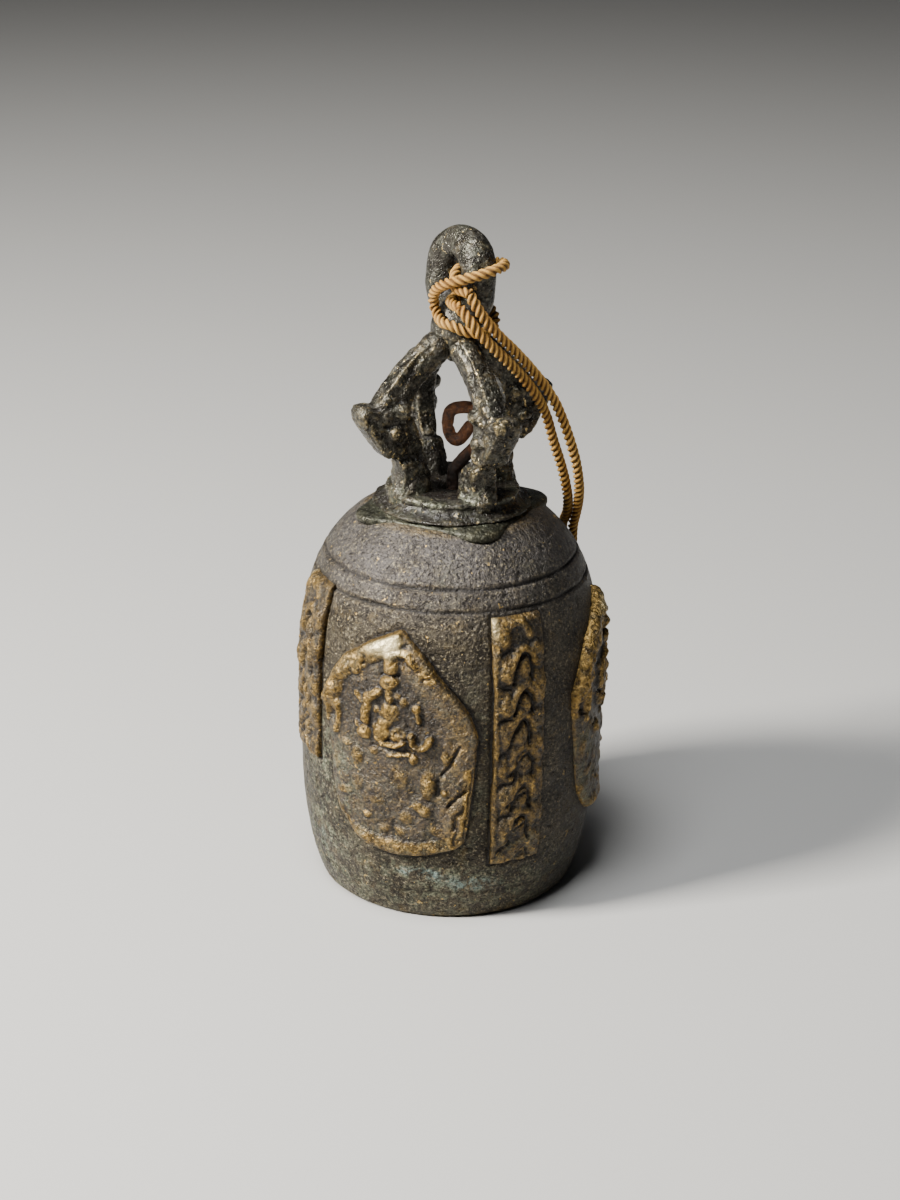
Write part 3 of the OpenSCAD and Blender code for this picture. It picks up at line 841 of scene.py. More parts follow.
def make_crown_base(plate_material, collar_material):
    """The four-cornered plate on the shoulder, and the collar that the arms stand on."""
    inside = [[CROWN_HOLE_R + 0.2, DISC_TOP - 0.2], [8, DISC_TOP]]
    sloping = [[r, DISC_TOP - (r - COLLAR_R) * 0.22] for r in np.arange(11.4, PLATE_R - 0.5, 0.3)]
    edge = [[PLATE_R - 0.3, 70.25], [PLATE_R - 0.03, 69.9], [PLATE_R, 69.4], [PLATE_R - 0.1, 68.9],
            [PLATE_R - 0.6, DISC_LOW], [PLATE_R - 2.4, DISC_LOW], [8, DISC_LOW + 0.6],
            [CROWN_HOLE_R + 0.2, DISC_LOW + 0.6]]
    plate = inside + sloping + edge

    def plate_relief(a, r, z, row):
        p = on_bell(a, r, z)
        return (0.12 * rough(p, 5, 83) + 0.04 * noise(p, 1.2, 89)) * (r > 8)

    points, faces = revolved(plate, 420, plate_relief)
    a, r = np.arctan2(points[:, 0], -points[:, 1]), np.hypot(points[:, 0], points[:, 1])
    ring = on_bell(a, np.full_like(a, 14.0), np.zeros_like(a))
    reach = plate_reach(a) + PLATE_SWELL + 0.45 * rough(ring, 5, 85)
    share = np.clip((r - PLATE_ROOT_R) / (PLATE_R - PLATE_ROOT_R), 0, None)
    pulled = np.where(r > PLATE_ROOT_R, PLATE_ROOT_R + share * (reach - PLATE_ROOT_R), r)
    points[:, :2] *= (pulled / r)[:, None]
    near_collar = step(15, 12.4, pulled)
    crust = near_collar * (0.22 * rough(points, 1.3, 87) + 0.1 * noise(points, 0.6, 88))
    points[:, 2] += np.where(points[:, 2] > 70, crust, 0)
    cast_piece(mesh_of("crown_disc", points, faces), "crown_disc_cast", ["crown_disc"],
               plate_material, wear=0.3, hollow_and_shade=0.16, verdigris=0.1 + 0.35 * near_collar, polish=0.12)

    low = DISC_TOP - 0.3
    lip_r = 0.6
    collar = [[CROWN_HOLE_R + 0.3, COLLAR_TOP - 0.6], [6, COLLAR_TOP - 0.2]]
    collar += [[r, COLLAR_TOP - 0.1] for r in np.arange(7, COLLAR_R - 0.8, 0.35)]
    for lean in np.radians(np.arange(80, -41, -12)):
        collar.append([COLLAR_R - lip_r + lip_r * math.cos(lean),
        COLLAR_TOP - 0.75 + lip_r * math.sin(lean)])
    flare = smooth_path([[COLLAR_R - 0.15, DISC_TOP + 1.5], [COLLAR_R + 0.2, DISC_TOP + 0.9],
                         [COLLAR_R + 1.1, DISC_TOP + 0.2], [COLLAR_R + 2.2, low]], 4)
    collar += flare.tolist() + [[COLLAR_R - 2, low - 0.3], [CROWN_HOLE_R + 0.3, low - 0.3]]

    def collar_relief(a, r, z, row):
        p = on_bell(a, r, z)
        lumps = 0.34 * rough(p, 4.5, 97) + 0.2 * rough(p, 1.5, 101) + 0.07 * noise(p, 0.6, 103)
        lumps -= 0.3 * step(0.45, 0.8, noise(p, 1.1, 105)) * (z < COLLAR_TOP - 1)
        return lumps * (r > 6.5)

    points, faces = revolved(collar, 460, collar_relief)
    across = np.hypot(points[:, 0], points[:, 1])
    on_lip = np.exp(-(np.hypot(across - COLLAR_R, points[:, 2] - COLLAR_TOP + 0.5) / 0.9) ** 2)
    # Painted shade in the collar's middle, inside about 10 mm, where the arms shade it; the rest of the
    # collar is darker too, all but its lip
    deep = np.maximum(step(10.8, 9, across + 0.8 * rough(points, 3, 107)), 0.75 * (1 - on_lip))
    cast_piece(mesh_of("crown_collar", points, faces), "crown_collar_cast", ["crown_collar"],
               collar_material, wear=0.14, hollow_and_shade=0.12, verdigris=0.45, polish=0.7,
               shade=deep)


# ---------------------------------------------------------------- the ring and the arms
def make_ring(material):
    """The stadium-shaped ring and the knob under it, melted together."""
    arc = np.linspace(-90, 90, 28)
    half = [[RING_BEND_R * math.cos(math.radians(t)),
             RING_BEND_R * math.sin(math.radians(t)) + math.copysign(RING_STRAIGHT / 2, t)] for t in arc]
    loop = np.array(half + [[-x, z] for x, z in half[::-1]])
    path = np.stack([loop[:, 0], np.zeros(len(loop)), loop[:, 1]], 1)
    path = np.vstack([path, path[:2]])
    radii = RING_BAR_R + 0.22 * np.sin(np.linspace(0, 6 * math.pi, len(path)) + 1.1)
    ring, faces = tube(path, radii, 28)
    ring = from_ring(ring)
    neck = tube(np.array([[0.1, 0, 99.6], [0.2, 0, 101], [0.35, 0, 103], [0.5, 0, 105]]),
                [3.6, 4.6, 4.5, 3.6], 36)
    mesh = melted([(ring, faces), neck], 0.26, 7)
    points, normals = read_points(mesh), read_normals(mesh)
    lift = 0.24 * rough(points, 5, 107) + 0.07 * rough(points, 1.6, 109) + 0.025 * noise(points, 0.6, 113)
    lift -= 0.14 * step(0.45, 0.8, noise(points, 1.2, 127))
    write_points(mesh, points + normals * lift[:, None])
    x, _, z = to_ring(read_points(mesh)).T
    # Painted shade on the faces round the ring's hole, where the far bar's inner side lies in shadow
    hole_shade = step(3.9, 2.7, np.hypot(x, np.maximum(np.abs(z) - RING_STRAIGHT / 2, 0)))
    cast_piece(mesh, "hanging_ring_cast", ["hanging_ring"], material,
               wear=0.16, hollow_and_shade=0.13, verdigris=0.15, shade=0.75 * hole_shade)


ARM_AZIMUTHS = {"arm_left": -60, "arm_front": 30, "arm_right": 120, "arm_back": -150}
# Limbs of an arm as (distance from the axis, height, radius)
ARM_LIMBS = [
    [(0.5, 99.6, 2.3), (3.5, 99.0, 2.8), (6.4, 97.1, 2.6), (8.9, 94.7, 2.5), (11.1, 92.0, 2.5),
     (12.3, 88.6, 2.5), (12.2, 85.4, 2.6), (11.0, 82.2, 2.3)],
    [(9.2, 79.8, 2.2), (8.7, 77.4, 2.6), (8.3, 74.6, 3.3)],
    [(17.6, 89.0, 1.4), (18.2, 89.2, 1.25)],
    [(8.2, 74.8, 3.2), (10.0, 74.0, 2.3)],
    [(8.3, 74.9, 3.5), (8.4, 73.6, 4.1)],
]
# The left arm's inner edge stands further in than the others'
LEFT_WEB = ([(4.6, 74), (5.2, 77.6), (6.4, 81), (7.6, 84.4), (8.8, 87.6), (10.4, 88), (10.4, 79),
             (8, 74)], 1.6)
# Flat plates of an arm seen from the side: (distance from the axis, height) outlines, and
# half of each plate's thickness
ARM_PLATES = [
    ([(4.8, 73.8), (5.6, 76.4), (6.8, 79), (8.6, 82), (9.6, 85), (9.6, 88.6), (8.8, 91), (7, 93.4),
      (4.6, 95.4), (2.9, 96.8), (0.6, 98), (0.6, 101.4), (4.3, 101.1), (8.1, 98.8), (11.1, 96),
      (13.8, 93), (15.8, 90.5), (17, 90.8), (18.8, 90.6), (19.4, 89.6), (19, 87.8), (16.9, 84.6),
      (15.1, 82), (13.3, 80.4), (11.5, 79.8), (11, 77.8), (11.2, 76), (11.6, 73.8)], 1.75),
    ([(10.6, 81.6), (10.2, 85), (10.8, 88.6), (12.2, 91.6), (14, 92), (16, 90), (18.6, 90.2),
      (19, 88.6), (16.6, 84.8), (14.9, 82.2), (13, 80.8)], 2.55),
    ([(5.3, 73.8), (6.2, 77.4), (7.8, 80.4), (11.2, 79.6), (10.9, 77.4), (11.3, 73.8)], 2.4),
]
# Bumps on both sides of the head, as (distance, height, sideways, radius)
ARM_BUMPS = [(14.0, 89.0, 2.0, 1.2), (11.4, 89.4, 2.1, 1.6), (12.8, 85.2, 2.3, 1.6)]
# Creases as (distance, height) lines, with a depth and a width
ARM_CREASES = [
    ([(11.6, 90.9), (14.0, 90.3), (16.8, 90.3)], 0.32, 0.6),
    ([(13.6, 87.2), (15.6, 87.2), (17.8, 88.2)], 0.35, 0.5),
    ([(10.8, 83.6), (12.6, 83.2), (14.6, 84.8)], 0.3, 0.6),
    ([(7.6, 80.4), (9.8, 80.6), (12.6, 80.4)], 0.5, 0.8),
    ([(5.6, 99.9), (8.6, 97.3), (10.8, 94.4), (12.0, 91.8)], 0.28, 0.5),
]


def distance_to_line(x, z, line):
    """Distance in the plane from points to a polyline."""
    best = np.full(len(x), 1e9)
    for (ax, az), (bx, bz) in zip(line, line[1:]):
        length = (bx - ax) ** 2 + (bz - az) ** 2
        t = np.clip(((x - ax) * (bx - ax) + (z - az) * (bz - az)) / length, 0, 1)
        best = np.minimum(best, np.hypot(x - ax - t * (bx - ax), z - az - t * (bz - az)))
    return best


def slab(outline, half):
    """Points and faces of a flat plate from its side outline."""
    line = np.array(outline, float)
    count = len(line)
    points = np.vstack([np.stack([line[:, 0], np.full(count, side * half), line[:, 1]], 1)
                        for side in (-1, 1)])
    walls = [[i, (i + 1) % count, count + (i + 1) % count, count + i] for i in range(count)]
    return points, [list(range(count)), list(range(count, 2 * count))] + walls


def make_arm(name, azimuth, seed, material):
    """An arm of the crown, worked out lying in the XZ plane and then turned to its azimuth."""
    plates = ARM_PLATES + [LEFT_WEB] if name == "arm_left" else ARM_PLATES
    parts = [slab(outline, half) for outline, half in plates]
    for limb in ARM_LIMBS:
        line = smooth_path(limb, 4)
        path = np.stack([line[:, 0], np.zeros(len(line)), line[:, 1]], 1)
        points, faces = tube(path, line[:, 2], 20)
        parts.append((points * [1, 0.9, 1], faces))
    for x, z, sideways, radius in ARM_BUMPS:
        for side in (-1, 1):
            ball = np.array([[x - 0.1, side * sideways, z], [x + 0.1, side * sideways, z]])
            parts.append(tube(ball, [radius, radius], 14))
    mesh = melted(parts, 0.24, 13)
    p, n = read_points(mesh), read_normals(mesh)
    shift = p + 37.0 * seed
    x = p[:, 0] + 0.5 * noise(shift, 2.5, 131)
    z = p[:, 2] + 0.5 * noise(shift, 2.5, 137)
    rugged = 0.6 + 0.7 * step(93, 88, z)
    rugged = rugged * (0.35 if name == "arm_back" else 1.0)
    lift = rugged * (0.26 * rough(shift, 3.2, 139) + 0.15 * rough(shift, 1.1, 149))
    lift += 0.06 * noise(shift, 0.5, 151)
    lift -= 0.22 * rugged * step(0.35, 0.8, noise(shift, 1.1, 157))
    for line, depth, wide in ARM_CREASES:
        lift -= depth * np.exp(-(distance_to_line(x, z, line) / wide) ** 2)
    p = p + n * lift[:, None]
    a = math.radians(azimuth)
    outward, sideways = np.array([math.sin(a), -math.cos(a), 0]), np.array([math.cos(a), math.sin(a), 0])
    world = p[:, :1] * outward + p[:, 1:2] * sideways + p[:, 2:] * np.array([0, 0, 1])
    write_points(mesh, world)
    foot = step(78, 74.5, world[:, 2])
    # Painted shade on the arms' inner parts low in the crown's middle, where the arms shade each other
    inner_shade = step(8.2, 6.2, np.hypot(world[:, 0], world[:, 1])) * step(86, 80, world[:, 2])
    cast_piece(mesh, name + "_cast", [name], material, wear=0.13, hollow_and_shade=0.13,
               verdigris=0.1 + 0.25 * foot, shade=0.75 * inner_shade)


# ---------------------------------------------------------------- relief on plaques and strips
def dome(x, z, cx, cz, rx, rz, height, tilt=0.0):
    """A rounded lump, leaning by tilt degrees."""
    c, s = math.cos(math.radians(tilt)), math.sin(math.radians(tilt))
    dx, dz = x - cx, z - cz
    inside = 1 - ((dx * c + dz * s) / rx) ** 2 - ((dz * c - dx * s) / rz) ** 2
    return height * np.clip(inside, 0, 1) ** 0.8


def ridge(x, z, line, radius, height):
    """A rounded bar along a line."""
    return height * np.clip(1 - (distance_to_line(x, z, line) / radius) ** 2, 0, 1) ** 0.8


def cut(x, z, line, radius, depth):
    """A soft groove along a line."""
    return depth * np.exp(-(distance_to_line(x, z, line) / radius) ** 2)


PLAQUES = [("plaque_front", -20.4), ("plaque_right", 85), ("plaque_back", 214)]
# Strips with their azimuth, lowest and highest points
STRIPS = [("strip_front", 27, 12, 58), ("strip_right", 148, 11, 58), ("strip_left", -68, 27, 59.4)]
PLAQUE_OUTLINE = [
    (0.8, 56), (5, 52), (9.8, 46), (13.2, 41.6), (14.7, 37.5), (14.2, 30), (13.4, 22), (12.6, 17.2),
    (11, 15.8), (8, 14.8), (3, 13.8), (-1, 13.6), (-4, 14.3), (-6.5, 15.2), (-9, 17.2), (-11.4, 20),
    (-12.8, 25), (-13.6, 31), (-14.6, 37), (-14.8, 41), (-12.6, 46), (-10, 50), (-5, 53.2)]
PLAQUE_MIDDLE = 35
PLAQUE_FIELD = 0.95

# The seated figure under its arch. Lumps are (x, z, half width, half height, rise, tilt).
FIGURE_LUMPS = [
    (-0.6, 46.9, 1.75, 1.5, 0.95, 0), (-0.5, 41.3, 2.0, 2.0, 0.6, 0), (-2.8, 41.6, 0.8, 0.8, 0.5, 0),
    (-1.3, 39.4, 1.4, 1.2, 0.55, 0), (4.1, 42.5, 0.9, 1.2, 0.65, 15), (2.0, 43.6, 0.9, 1.1, 0.4, 0),
    (-1.9, 37.6, 1.8, 2.0, 0.85, 0), (1.1, 37.4, 1.6, 1.6, 0.55, 0), (-5.2, 36.6, 1.6, 1.5, 0.85, 0),
    (-6.5, 38.0, 0.5, 0.8, 0.5, 20), (0.9, 44.6, 0.7, 0.7, 0.25, 0)]
# Bars are (line, radius, rise)
FIGURE_BARS = [
    ([(-0.5, 51.6), (-0.5, 49.2)], 1.5, 0.85), ([(-0.4, 45.1), (-0.3, 43.8)], 0.85, 0.55),
    ([(-2.4, 44.8), (-4.4, 43.2), (-5.0, 41.0), (-4.8, 39.0)], 1.0, 0.75),
    ([(-6.7, 43.6), (-5.2, 42.2)], 0.6, 0.55), ([(4.2, 42.0), (4.8, 40.2)], 0.5, 0.45),
    ([(-2.6, 36.2), (-1.2, 35.3), (0.6, 35.1), (2.0, 36.0)], 0.6, 0.75),
    ([(3.3, 37.4), (3.6, 36.1), (4.8, 35.4), (5.9, 35.9), (6.6, 37.1)], 0.7, 0.9)]
BORDER_BARS = [
    ([(-0.6, 54.2), (-5, 51.6), (-8.6, 49.0), (-11.2, 46.3), (-12.6, 43.0), (-13.0, 40.5)], 2.3, 0.8),
    ([(-11.2, 40.6), (-10.7, 38.0), (-11.3, 35.4)], 0.9, 0.55), ([(-13.9, 40), (-14.0, 36.5)], 0.8, 0.4),
    ([(0.4, 52.6), (2.6, 52.0), (3.8, 50.2)], 0.9, 0.6),
    ([(-6.4, 16.9), (-3, 15.9), (2, 15.4), (7, 16.0), (10.5, 17.4)], 1.6, 0.5),
    ([(-11.8, 21.5), (-10.4, 19.2), (-8.0, 17.2)], 1.2, 0.4)]
BROAD_BORDER = ([(4.0, 50.8), (8.0, 46.2), (11.2, 42.0), (12.4, 37.5), (11.8, 31), (11.4, 24), (11.0, 18.6)],
                3.6, 0.5)
BORDER_LUMPS = [
    (-7.5, 48.7, 1.7, 1.9, 1.0, 0), (-9.9, 46.7, 1.7, 1.7, 1.0, 0), (-11.2, 43.2, 1.4, 1.7, 0.95, 0),
    (-3.0, 53.2, 4.2, 2.0, 1.0, 28), (-6.0, 50.6, 1.3, 1.5, 0.9, 0), (5.8, 49.0, 2.2, 1.2, 0.6, -40)]
LOWER_LUMPS = [
    (-6.6, 32.0, 1.4, 1.9, 0.6, 0), (-3.3, 33.5, 0.9, 0.9, 0.35, 0), (-8.8, 33.8, 1.1, 0.8, 0.3, 0),
    (3.8, 33.3, 0.8, 1.1, 0.6, 0), (6.2, 28.4, 1.4, 3.0, 0.5, 0), (5.2, 23.8, 2.0, 1.15, 0.75, -38),
    (9.0, 27.2, 0.9, 0.9, 0.5, 0), (-4.6, 21.1, 1.1, 0.7, 0.55, 0), (2.5, 21.8, 1.5, 1.3, 0.35, 0),
    (1.6, 18.9, 1.5, 1.1, 0.3, 0), (-1.3, 19.0, 1.3, 1.0, 0.3, 0), (-9.5, 24.4, 1.9, 1.0, 0.35, 15),
    (1.2, 29.5, 1.8, 2.4, 0.25, 0), (-2.6, 24.4, 1.6, 1.2, 0.22, 0), (9.4, 33.6, 1.2, 1.6, 0.5, 20),
    (-11.4, 29.5, 1.3, 2.0, 0.25, 0), (7.6, 19.8, 1.4, 1.2, 0.3, 0), (-6.6, 26.8, 1.4, 1.6, 0.25, 0)]
LOWER_BARS = [([(-0.5, 33.2), (1.5, 33.8), (3.2, 34.0)], 0.45, 0.4),
    ([(12.7, 31), (12.5, 24), (11.9, 18)], 0.7, 0.55)]
# Grooves and hollows are (line, radius, depth)
PLAQUE_CUTS = [
    ([(-2.0, 48.2), (1.0, 48.3)], 0.28, 0.5), ([(-5.2, 38.6), (-4.9, 37.2)], 0.4, 0.6),
    ([(0.5, 37.7), (1.6, 37.7)], 0.4, 0.35), ([(-12.9, 39.4), (-12.5, 37.6)], 1.1, 0.9),
    ([(11.4, 35.8), (10.0, 33.2), (9.5, 31.6), (8.6, 30.4)], 0.36, 0.6),
    ([(12.4, 27.7), (10.7, 25.6), (9.8, 24.4)], 0.34, 0.6), ([(12.2, 24.2), (11.0, 22.4), (10.6, 20)],
    0.34, 0.5),
    ([(11.2, 22.8), (11.2, 20), (10.8, 17.2)], 0.3, 0.4), ([(13.4, 31), (12.9, 25), (12.3, 17.8)], 0.26,
    0.4),
    ([(7.9, 29.4), (8.1, 26.8)], 0.6, 0.6), ([(3.8, 26.9), (4.4, 26.4)], 0.7, 0.35),
    ([(1.8, 51.0), (2.0, 50.6)], 0.6, 0.5), ([(10.6, 37.0), (10.8, 36.2)], 0.6, 0.35),
    ([(-3.6, 34.4), (-1, 34.2), (2.4, 34.8), (4.4, 34.2)], 0.4, 0.3),
    ([(-4.9, 51.0), (-5.5, 49.4)], 0.4, 0.5),
    ([(-8.0, 49.4), (-7.7, 47.2)], 0.3, 0.35), ([(5.0, 41.4), (5.4, 39.6)], 0.5, 0.35),
    ([(2.4, 40.2), (3.0, 38.2)], 0.5, 0.3), ([(6.0, 25.6), (7.4, 24.6)], 0.4, 0.3),
    ([(0.2, 20.6), (0.5, 17.8)], 0.35, 0.3), ([(5.4, 48.3), (7.0, 48.5)], 0.3, 0.3)]


def plaque_relief(x, z):
    """Height of the casting over the wall, before its edges are rounded."""
    raised = np.zeros_like(x)
    for lump in FIGURE_LUMPS + BORDER_LUMPS + LOWER_LUMPS:
        raised = np.maximum(raised, dome(x, z, *lump))
    for line, radius, rise in FIGURE_BARS + BORDER_BARS + LOWER_BARS:
        raised = np.maximum(raised, ridge(x, z, line, radius, rise))
    sunk = np.zeros_like(x)
    for line, radius, depth in PLAQUE_CUTS:
        sunk = np.maximum(sunk, cut(x, z, line, radius, depth))
    return raised, sunk


def blurred(grid, passes):
    """A grid of numbers, averaged with its neighbours in both directions."""
    for _ in range(passes):
        for axis in (0, 1):
            padded = np.pad(grid, [(1, 1) if k == axis else (0, 0) for k in (0, 1)], mode="edge")
            low = np.take(padded, range(0, grid.shape[axis]), axis)
            high = np.take(padded, range(2, grid.shape[axis] + 2), axis)
            grid = 0.5 * grid + 0.25 * (low + high)
    return grid


BACK_RINGS = 4


def closed_patch(top, inward):
    """Closes a grid of points: its edge goes down, and a shallow dish of rings fills the back.
    top is rows x columns x 3, and inward gives a point behind the surface for an edge point."""
    rows, columns = top.shape[:2]
    index = np.arange(rows * columns).reshape(rows, columns)
    edge = np.concatenate([index[0, :-1], index[:-1, -1], index[-1, :0:-1], index[:0:-1, 0]])
    flat = top.reshape(-1, 3)
    faces = grid_faces(rows, columns)
    points, previous, base = [flat], edge, len(flat)
    count = len(edge)
    for k in range(BACK_RINGS):
        ring = inward(flat[edge], 1 - k / BACK_RINGS)
        current = base + np.arange(count)
        for a in range(count):
            b = (a + 1) % count
            faces.append([int(previous[a]), int(previous[b]), int(current[b]), int(current[a])])
        points.append(ring)
        previous, base = current, base + count
    middle = inward(flat[edge], 0).mean(0, keepdims=True)
    points.append(middle)
    faces += [[int(previous[a]), int(previous[(a + 1) % count]), base] for a in range(count)]
    return np.vstack(points), faces


def patch_piece(name, azimuth, x, z, height, sunk_into, material, wear, bare_and_highlight, verdigris, tint,
                field, seed):
    """A relief patch on the wall from grids of x along the wall, z and height over it."""
    angle = math.radians(azimuth) + x / BODY_R
    top = on_bell(angle, wall_r(z) + height, z)
    middle_x, middle_z = x.mean(), z.mean()

    def inward(edge_points, share):
        a = np.arctan2(edge_points[:, 0], -edge_points[:, 1]) - math.radians(azimuth)
        a = (a + math.pi) % (2 * math.pi) - math.pi
        a = math.radians(azimuth) + middle_x / BODY_R + (a - middle_x / BODY_R) * share
        level = middle_z + (edge_points[:, 2] - middle_z) * share
        return on_bell(a, wall_r(level) - sunk_into, level)

    points, faces = closed_patch(top, inward)
    mesh = mesh_of(name, points, faces)
    back = len(points) - x.size

    def spread_out(values):
        return np.concatenate([np.broadcast_to(values, x.shape).ravel(), np.zeros(back)])

    low = hollowness(mesh, 16)
    mottle = rough(points, 2.0, seed)
    worn = np.clip(spread_out(wear) + 0.5 * np.clip(-low / 0.15, -0.5, 1) + 0.25 * mottle, 0, 1)
    mark(mesh, "wear", worn)
    shade = spread_out(field) * (0.8 + 0.5 * mottle)
    mark(mesh, "hollow_and_shade", np.clip(np.clip(low / 0.10 - 0.12, 0, 1) + shade, 0, 1))
    mark(mesh, "verdigris", np.clip(spread_out(verdigris), 0, 1))
    mark(mesh, "tint", np.clip(spread_out(tint), 0, 1))
    # Bare metal together with painted highlight
    mark(mesh, "bare_and_highlight", np.clip(spread_out(bare_and_highlight), 0, 1))
    return finish_piece(mesh, name + "_cast", [name], "root", material)


def outline_radius(outline, middle_z, angle):
    """Distance from a plaque's middle to its outline, with the corners a little rounded."""
    closed = np.array(list(outline) + [outline[0]], float)
    dense = even_path(closed, 0.15)[:-1]
    for _ in range(10):
        dense = 0.5 * dense + 0.25 * (np.roll(dense, 1, 0) + np.roll(dense, -1, 0))
    dense[:, 1] -= middle_z
    at = np.arctan2(dense[:, 1], dense[:, 0])
    order = np.argsort(at)
    return np.interp(angle, at[order], np.hypot(dense[:, 0], dense[:, 1])[order], period=2 * math.pi)


def make_plaque(name, azimuth, seed, material):
    """A pointed plaque with a worn seated figure under an arch."""
    columns, rows = 230, 330
    u, v = np.meshgrid(np.linspace(-1, 1, columns), np.linspace(-1, 1, rows))
    a, b = u * np.sqrt(1 - v * v / 2), v * np.sqrt(1 - u * u / 2)
    share, angle = np.hypot(a, b), np.arctan2(b, a)
    ring = np.stack([np.cos(angle).ravel() * 14, np.sin(angle).ravel() * 14, np.full(angle.size, seed)], 1)
    reach = outline_radius(PLAQUE_OUTLINE, PLAQUE_MIDDLE, angle)
    reach = reach + 0.28 * rough(ring, 4, 163, 3).reshape(angle.shape)
    x, z = share * reach * np.cos(angle), PLAQUE_MIDDLE + share * reach * np.sin(angle)

    place = np.stack([x.ravel(), z.ravel(), np.full(x.size, 50.0 + seed)], 1)
    bend_x = x + (0.28 * rough(place, 2.6, 167) + 0.24 * noise(place, 1.1, 168)).reshape(x.shape)
    bend_z = z + (0.28 * rough(place, 2.6, 173) + 0.24 * noise(place, 1.1, 174)).reshape(x.shape)
    raised, sunk = plaque_relief(bend_x.ravel(), bend_z.ravel())
    raised, sunk = raised.reshape(x.shape), sunk.reshape(x.shape)
    raised = raised * (0.85 + 0.55 * rough(place, 1.5, 157, 3).reshape(x.shape))
    broad = ridge(bend_x.ravel(), bend_z.ravel(), *BROAD_BORDER).reshape(x.shape)
    worn_down = 1 - 0.12 * step(33, 24, z)
    raised = 1.55 * raised
    height = PLAQUE_FIELD + blurred(np.maximum(raised * worn_down, broad), 2) - blurred(sunk, 1)
    height = height + 0.3 * step(34, 29, z) * np.clip(rough(place, 2.6, 177, 2), -0.3, 1).reshape(x.shape)
    grain = 0.16 * rough(place, 2.4, 179) + 0.13 * rough(place, 0.9, 181) + 0.06 * noise(place, 0.42, 191)
    height = height + grain.reshape(x.shape)

    from_edge = (1 - share) * reach
    melt = 0.9 + 3.6 * step(-5, -11, x) * step(40, 33, z)
    roll = np.sqrt(np.clip(1 - (1 - np.clip(from_edge / melt, 0, 1)) ** 2, 0, 1))
    height = np.maximum(height * roll, 0.02) - 0.15 * (share > 0.999)
    wear = np.clip(raised / 0.8, 0, 1) * 0.75 * (1 - 0.3 * step(34, 28, z)) + 0.3 * broad + 0.06
    # Bare metal at the apex and upper left of the raised tops, with a painted highlight there; full on the
    # front plaque, less on the others
    tip = step(4.8, 0.8, np.hypot((x + 1.2) * 0.8, (z - 53.8) * 1.5))
    top_left = step(1, -3, x) * step(44, 50, z)
    bare_and_highlight = (tip + 0.06 * top_left) * step(1.1, 1.9, height) * (1.0 if seed == 0 else 0.3)
    arch = step(10.5, 8.5, np.hypot(x + 1.5, (z - 42.5) * 1.1)) * step(33.5, 35, z)
    field = (1 - np.clip(raised / 0.5, 0, 1)) * (0.42 + 0.42 * arch) * (1 - np.clip(broad / 0.4, 0, 1))
    green = 0.55 * step(-4, -10, x) * step(38, 30, z) + 0.25 * step(22, 12, z) + 0.15
    tint = 0.55 * (1 - np.clip(raised / 0.4, 0, 1))
    patch_piece(name, azimuth, x, z, height, 0.6, material, wear, bare_and_highlight, green, tint,
                field, seed)


# Half of a strip's width, and the height of one crossing of its plait
STRIP_EDGE = 4.9
PLAIT_PITCH = 6.1
PLAIT_GROOVE = [(-1.3, -4.6), (-0.7, -2.2), (0.0, -0.7), (0.9, 0.1), (1.8, -1.0), (2.4, -2.8), (2.2, -4.6)]
PLAIT_ARCH = [(-2.3, -3.6), (-1.5, -1.2), (-0.6, 0.5), (0.8, 1.3), (2.3, 0.2), (3.3, -1.8)]


def strip_relief(x, z, top_z, low_z):
    """A worn plait: lumps down both sides, and pointed arches with a bead in each down the middle."""
    raised = np.zeros_like(x)
    sunk = np.zeros_like(x)
    peak, k = top_z - 6.4, 0
    while peak > low_z - 2:
        drift = 0.45 * math.sin(2.3 * k)
        clear = 1.0 if k < 3 else 0.75
        arch = [(px + drift, peak + pz) for px, pz in PLAIT_ARCH]
        groove = [(px + drift, peak + pz) for px, pz in PLAIT_GROOVE]
        swell = 1 + 0.2 * math.sin(1.7 * k + 0.6)
        raised = np.maximum(raised, ridge(x, z, arch, 1.0, 0.66 * swell))
        raised = np.maximum(raised, dome(x, z, 0.85 + drift, peak - 2.6, 1.1, 2.0, 0.6))
        raised = np.maximum(raised, dome(x, z, -2.75, peak - 2.6, 1.5, 2.7, 0.75 * swell, 10))
        raised = np.maximum(raised, dome(x, z, 3.6, peak + 0.6 + drift, 1.4, 2.5, 0.6, 22))
        sunk = np.maximum(sunk, cut(x, z, groove, 0.36, 0.72 * clear))
        if k >= 3:
            slant = [(-2.2, peak - 3.8 + drift), (-0.4, peak - 2.4), (1.2, peak - 1.2 + drift)]
            sunk = np.maximum(sunk, cut(x, z, slant, 0.34, 0.55))
            raised = np.maximum(raised, ridge(x, z, [(px + 0.4, pz + 1.0) for px, pz in slant], 0.9, 0.7))
        sunk = np.maximum(sunk, cut(x, z, [(-3.6, peak + 0.3), (-1.9, peak + 0.9 + drift)], 0.35, 0.4))
        sunk = np.maximum(sunk, cut(x, z, [(2.9, peak - 1.6), (4.4, peak - 2.4)], 0.35, 0.35))
        peak -= PLAIT_PITCH
        k += 1
    raised = np.maximum(raised, dome(x, z, -3.2, top_z - 2.6, 1.5, 2.5, 0.85))
    raised = np.maximum(raised, ridge(x, z, [(-1.4, top_z - 1.2), (0.6, top_z - 1), (2, top_z - 2.6)],
    0.9, 0.7))
    raised = np.maximum(raised, ridge(x, z, [(-4.4, top_z), (-4.5, low_z)], 0.55, 0.35))
    return raised, sunk


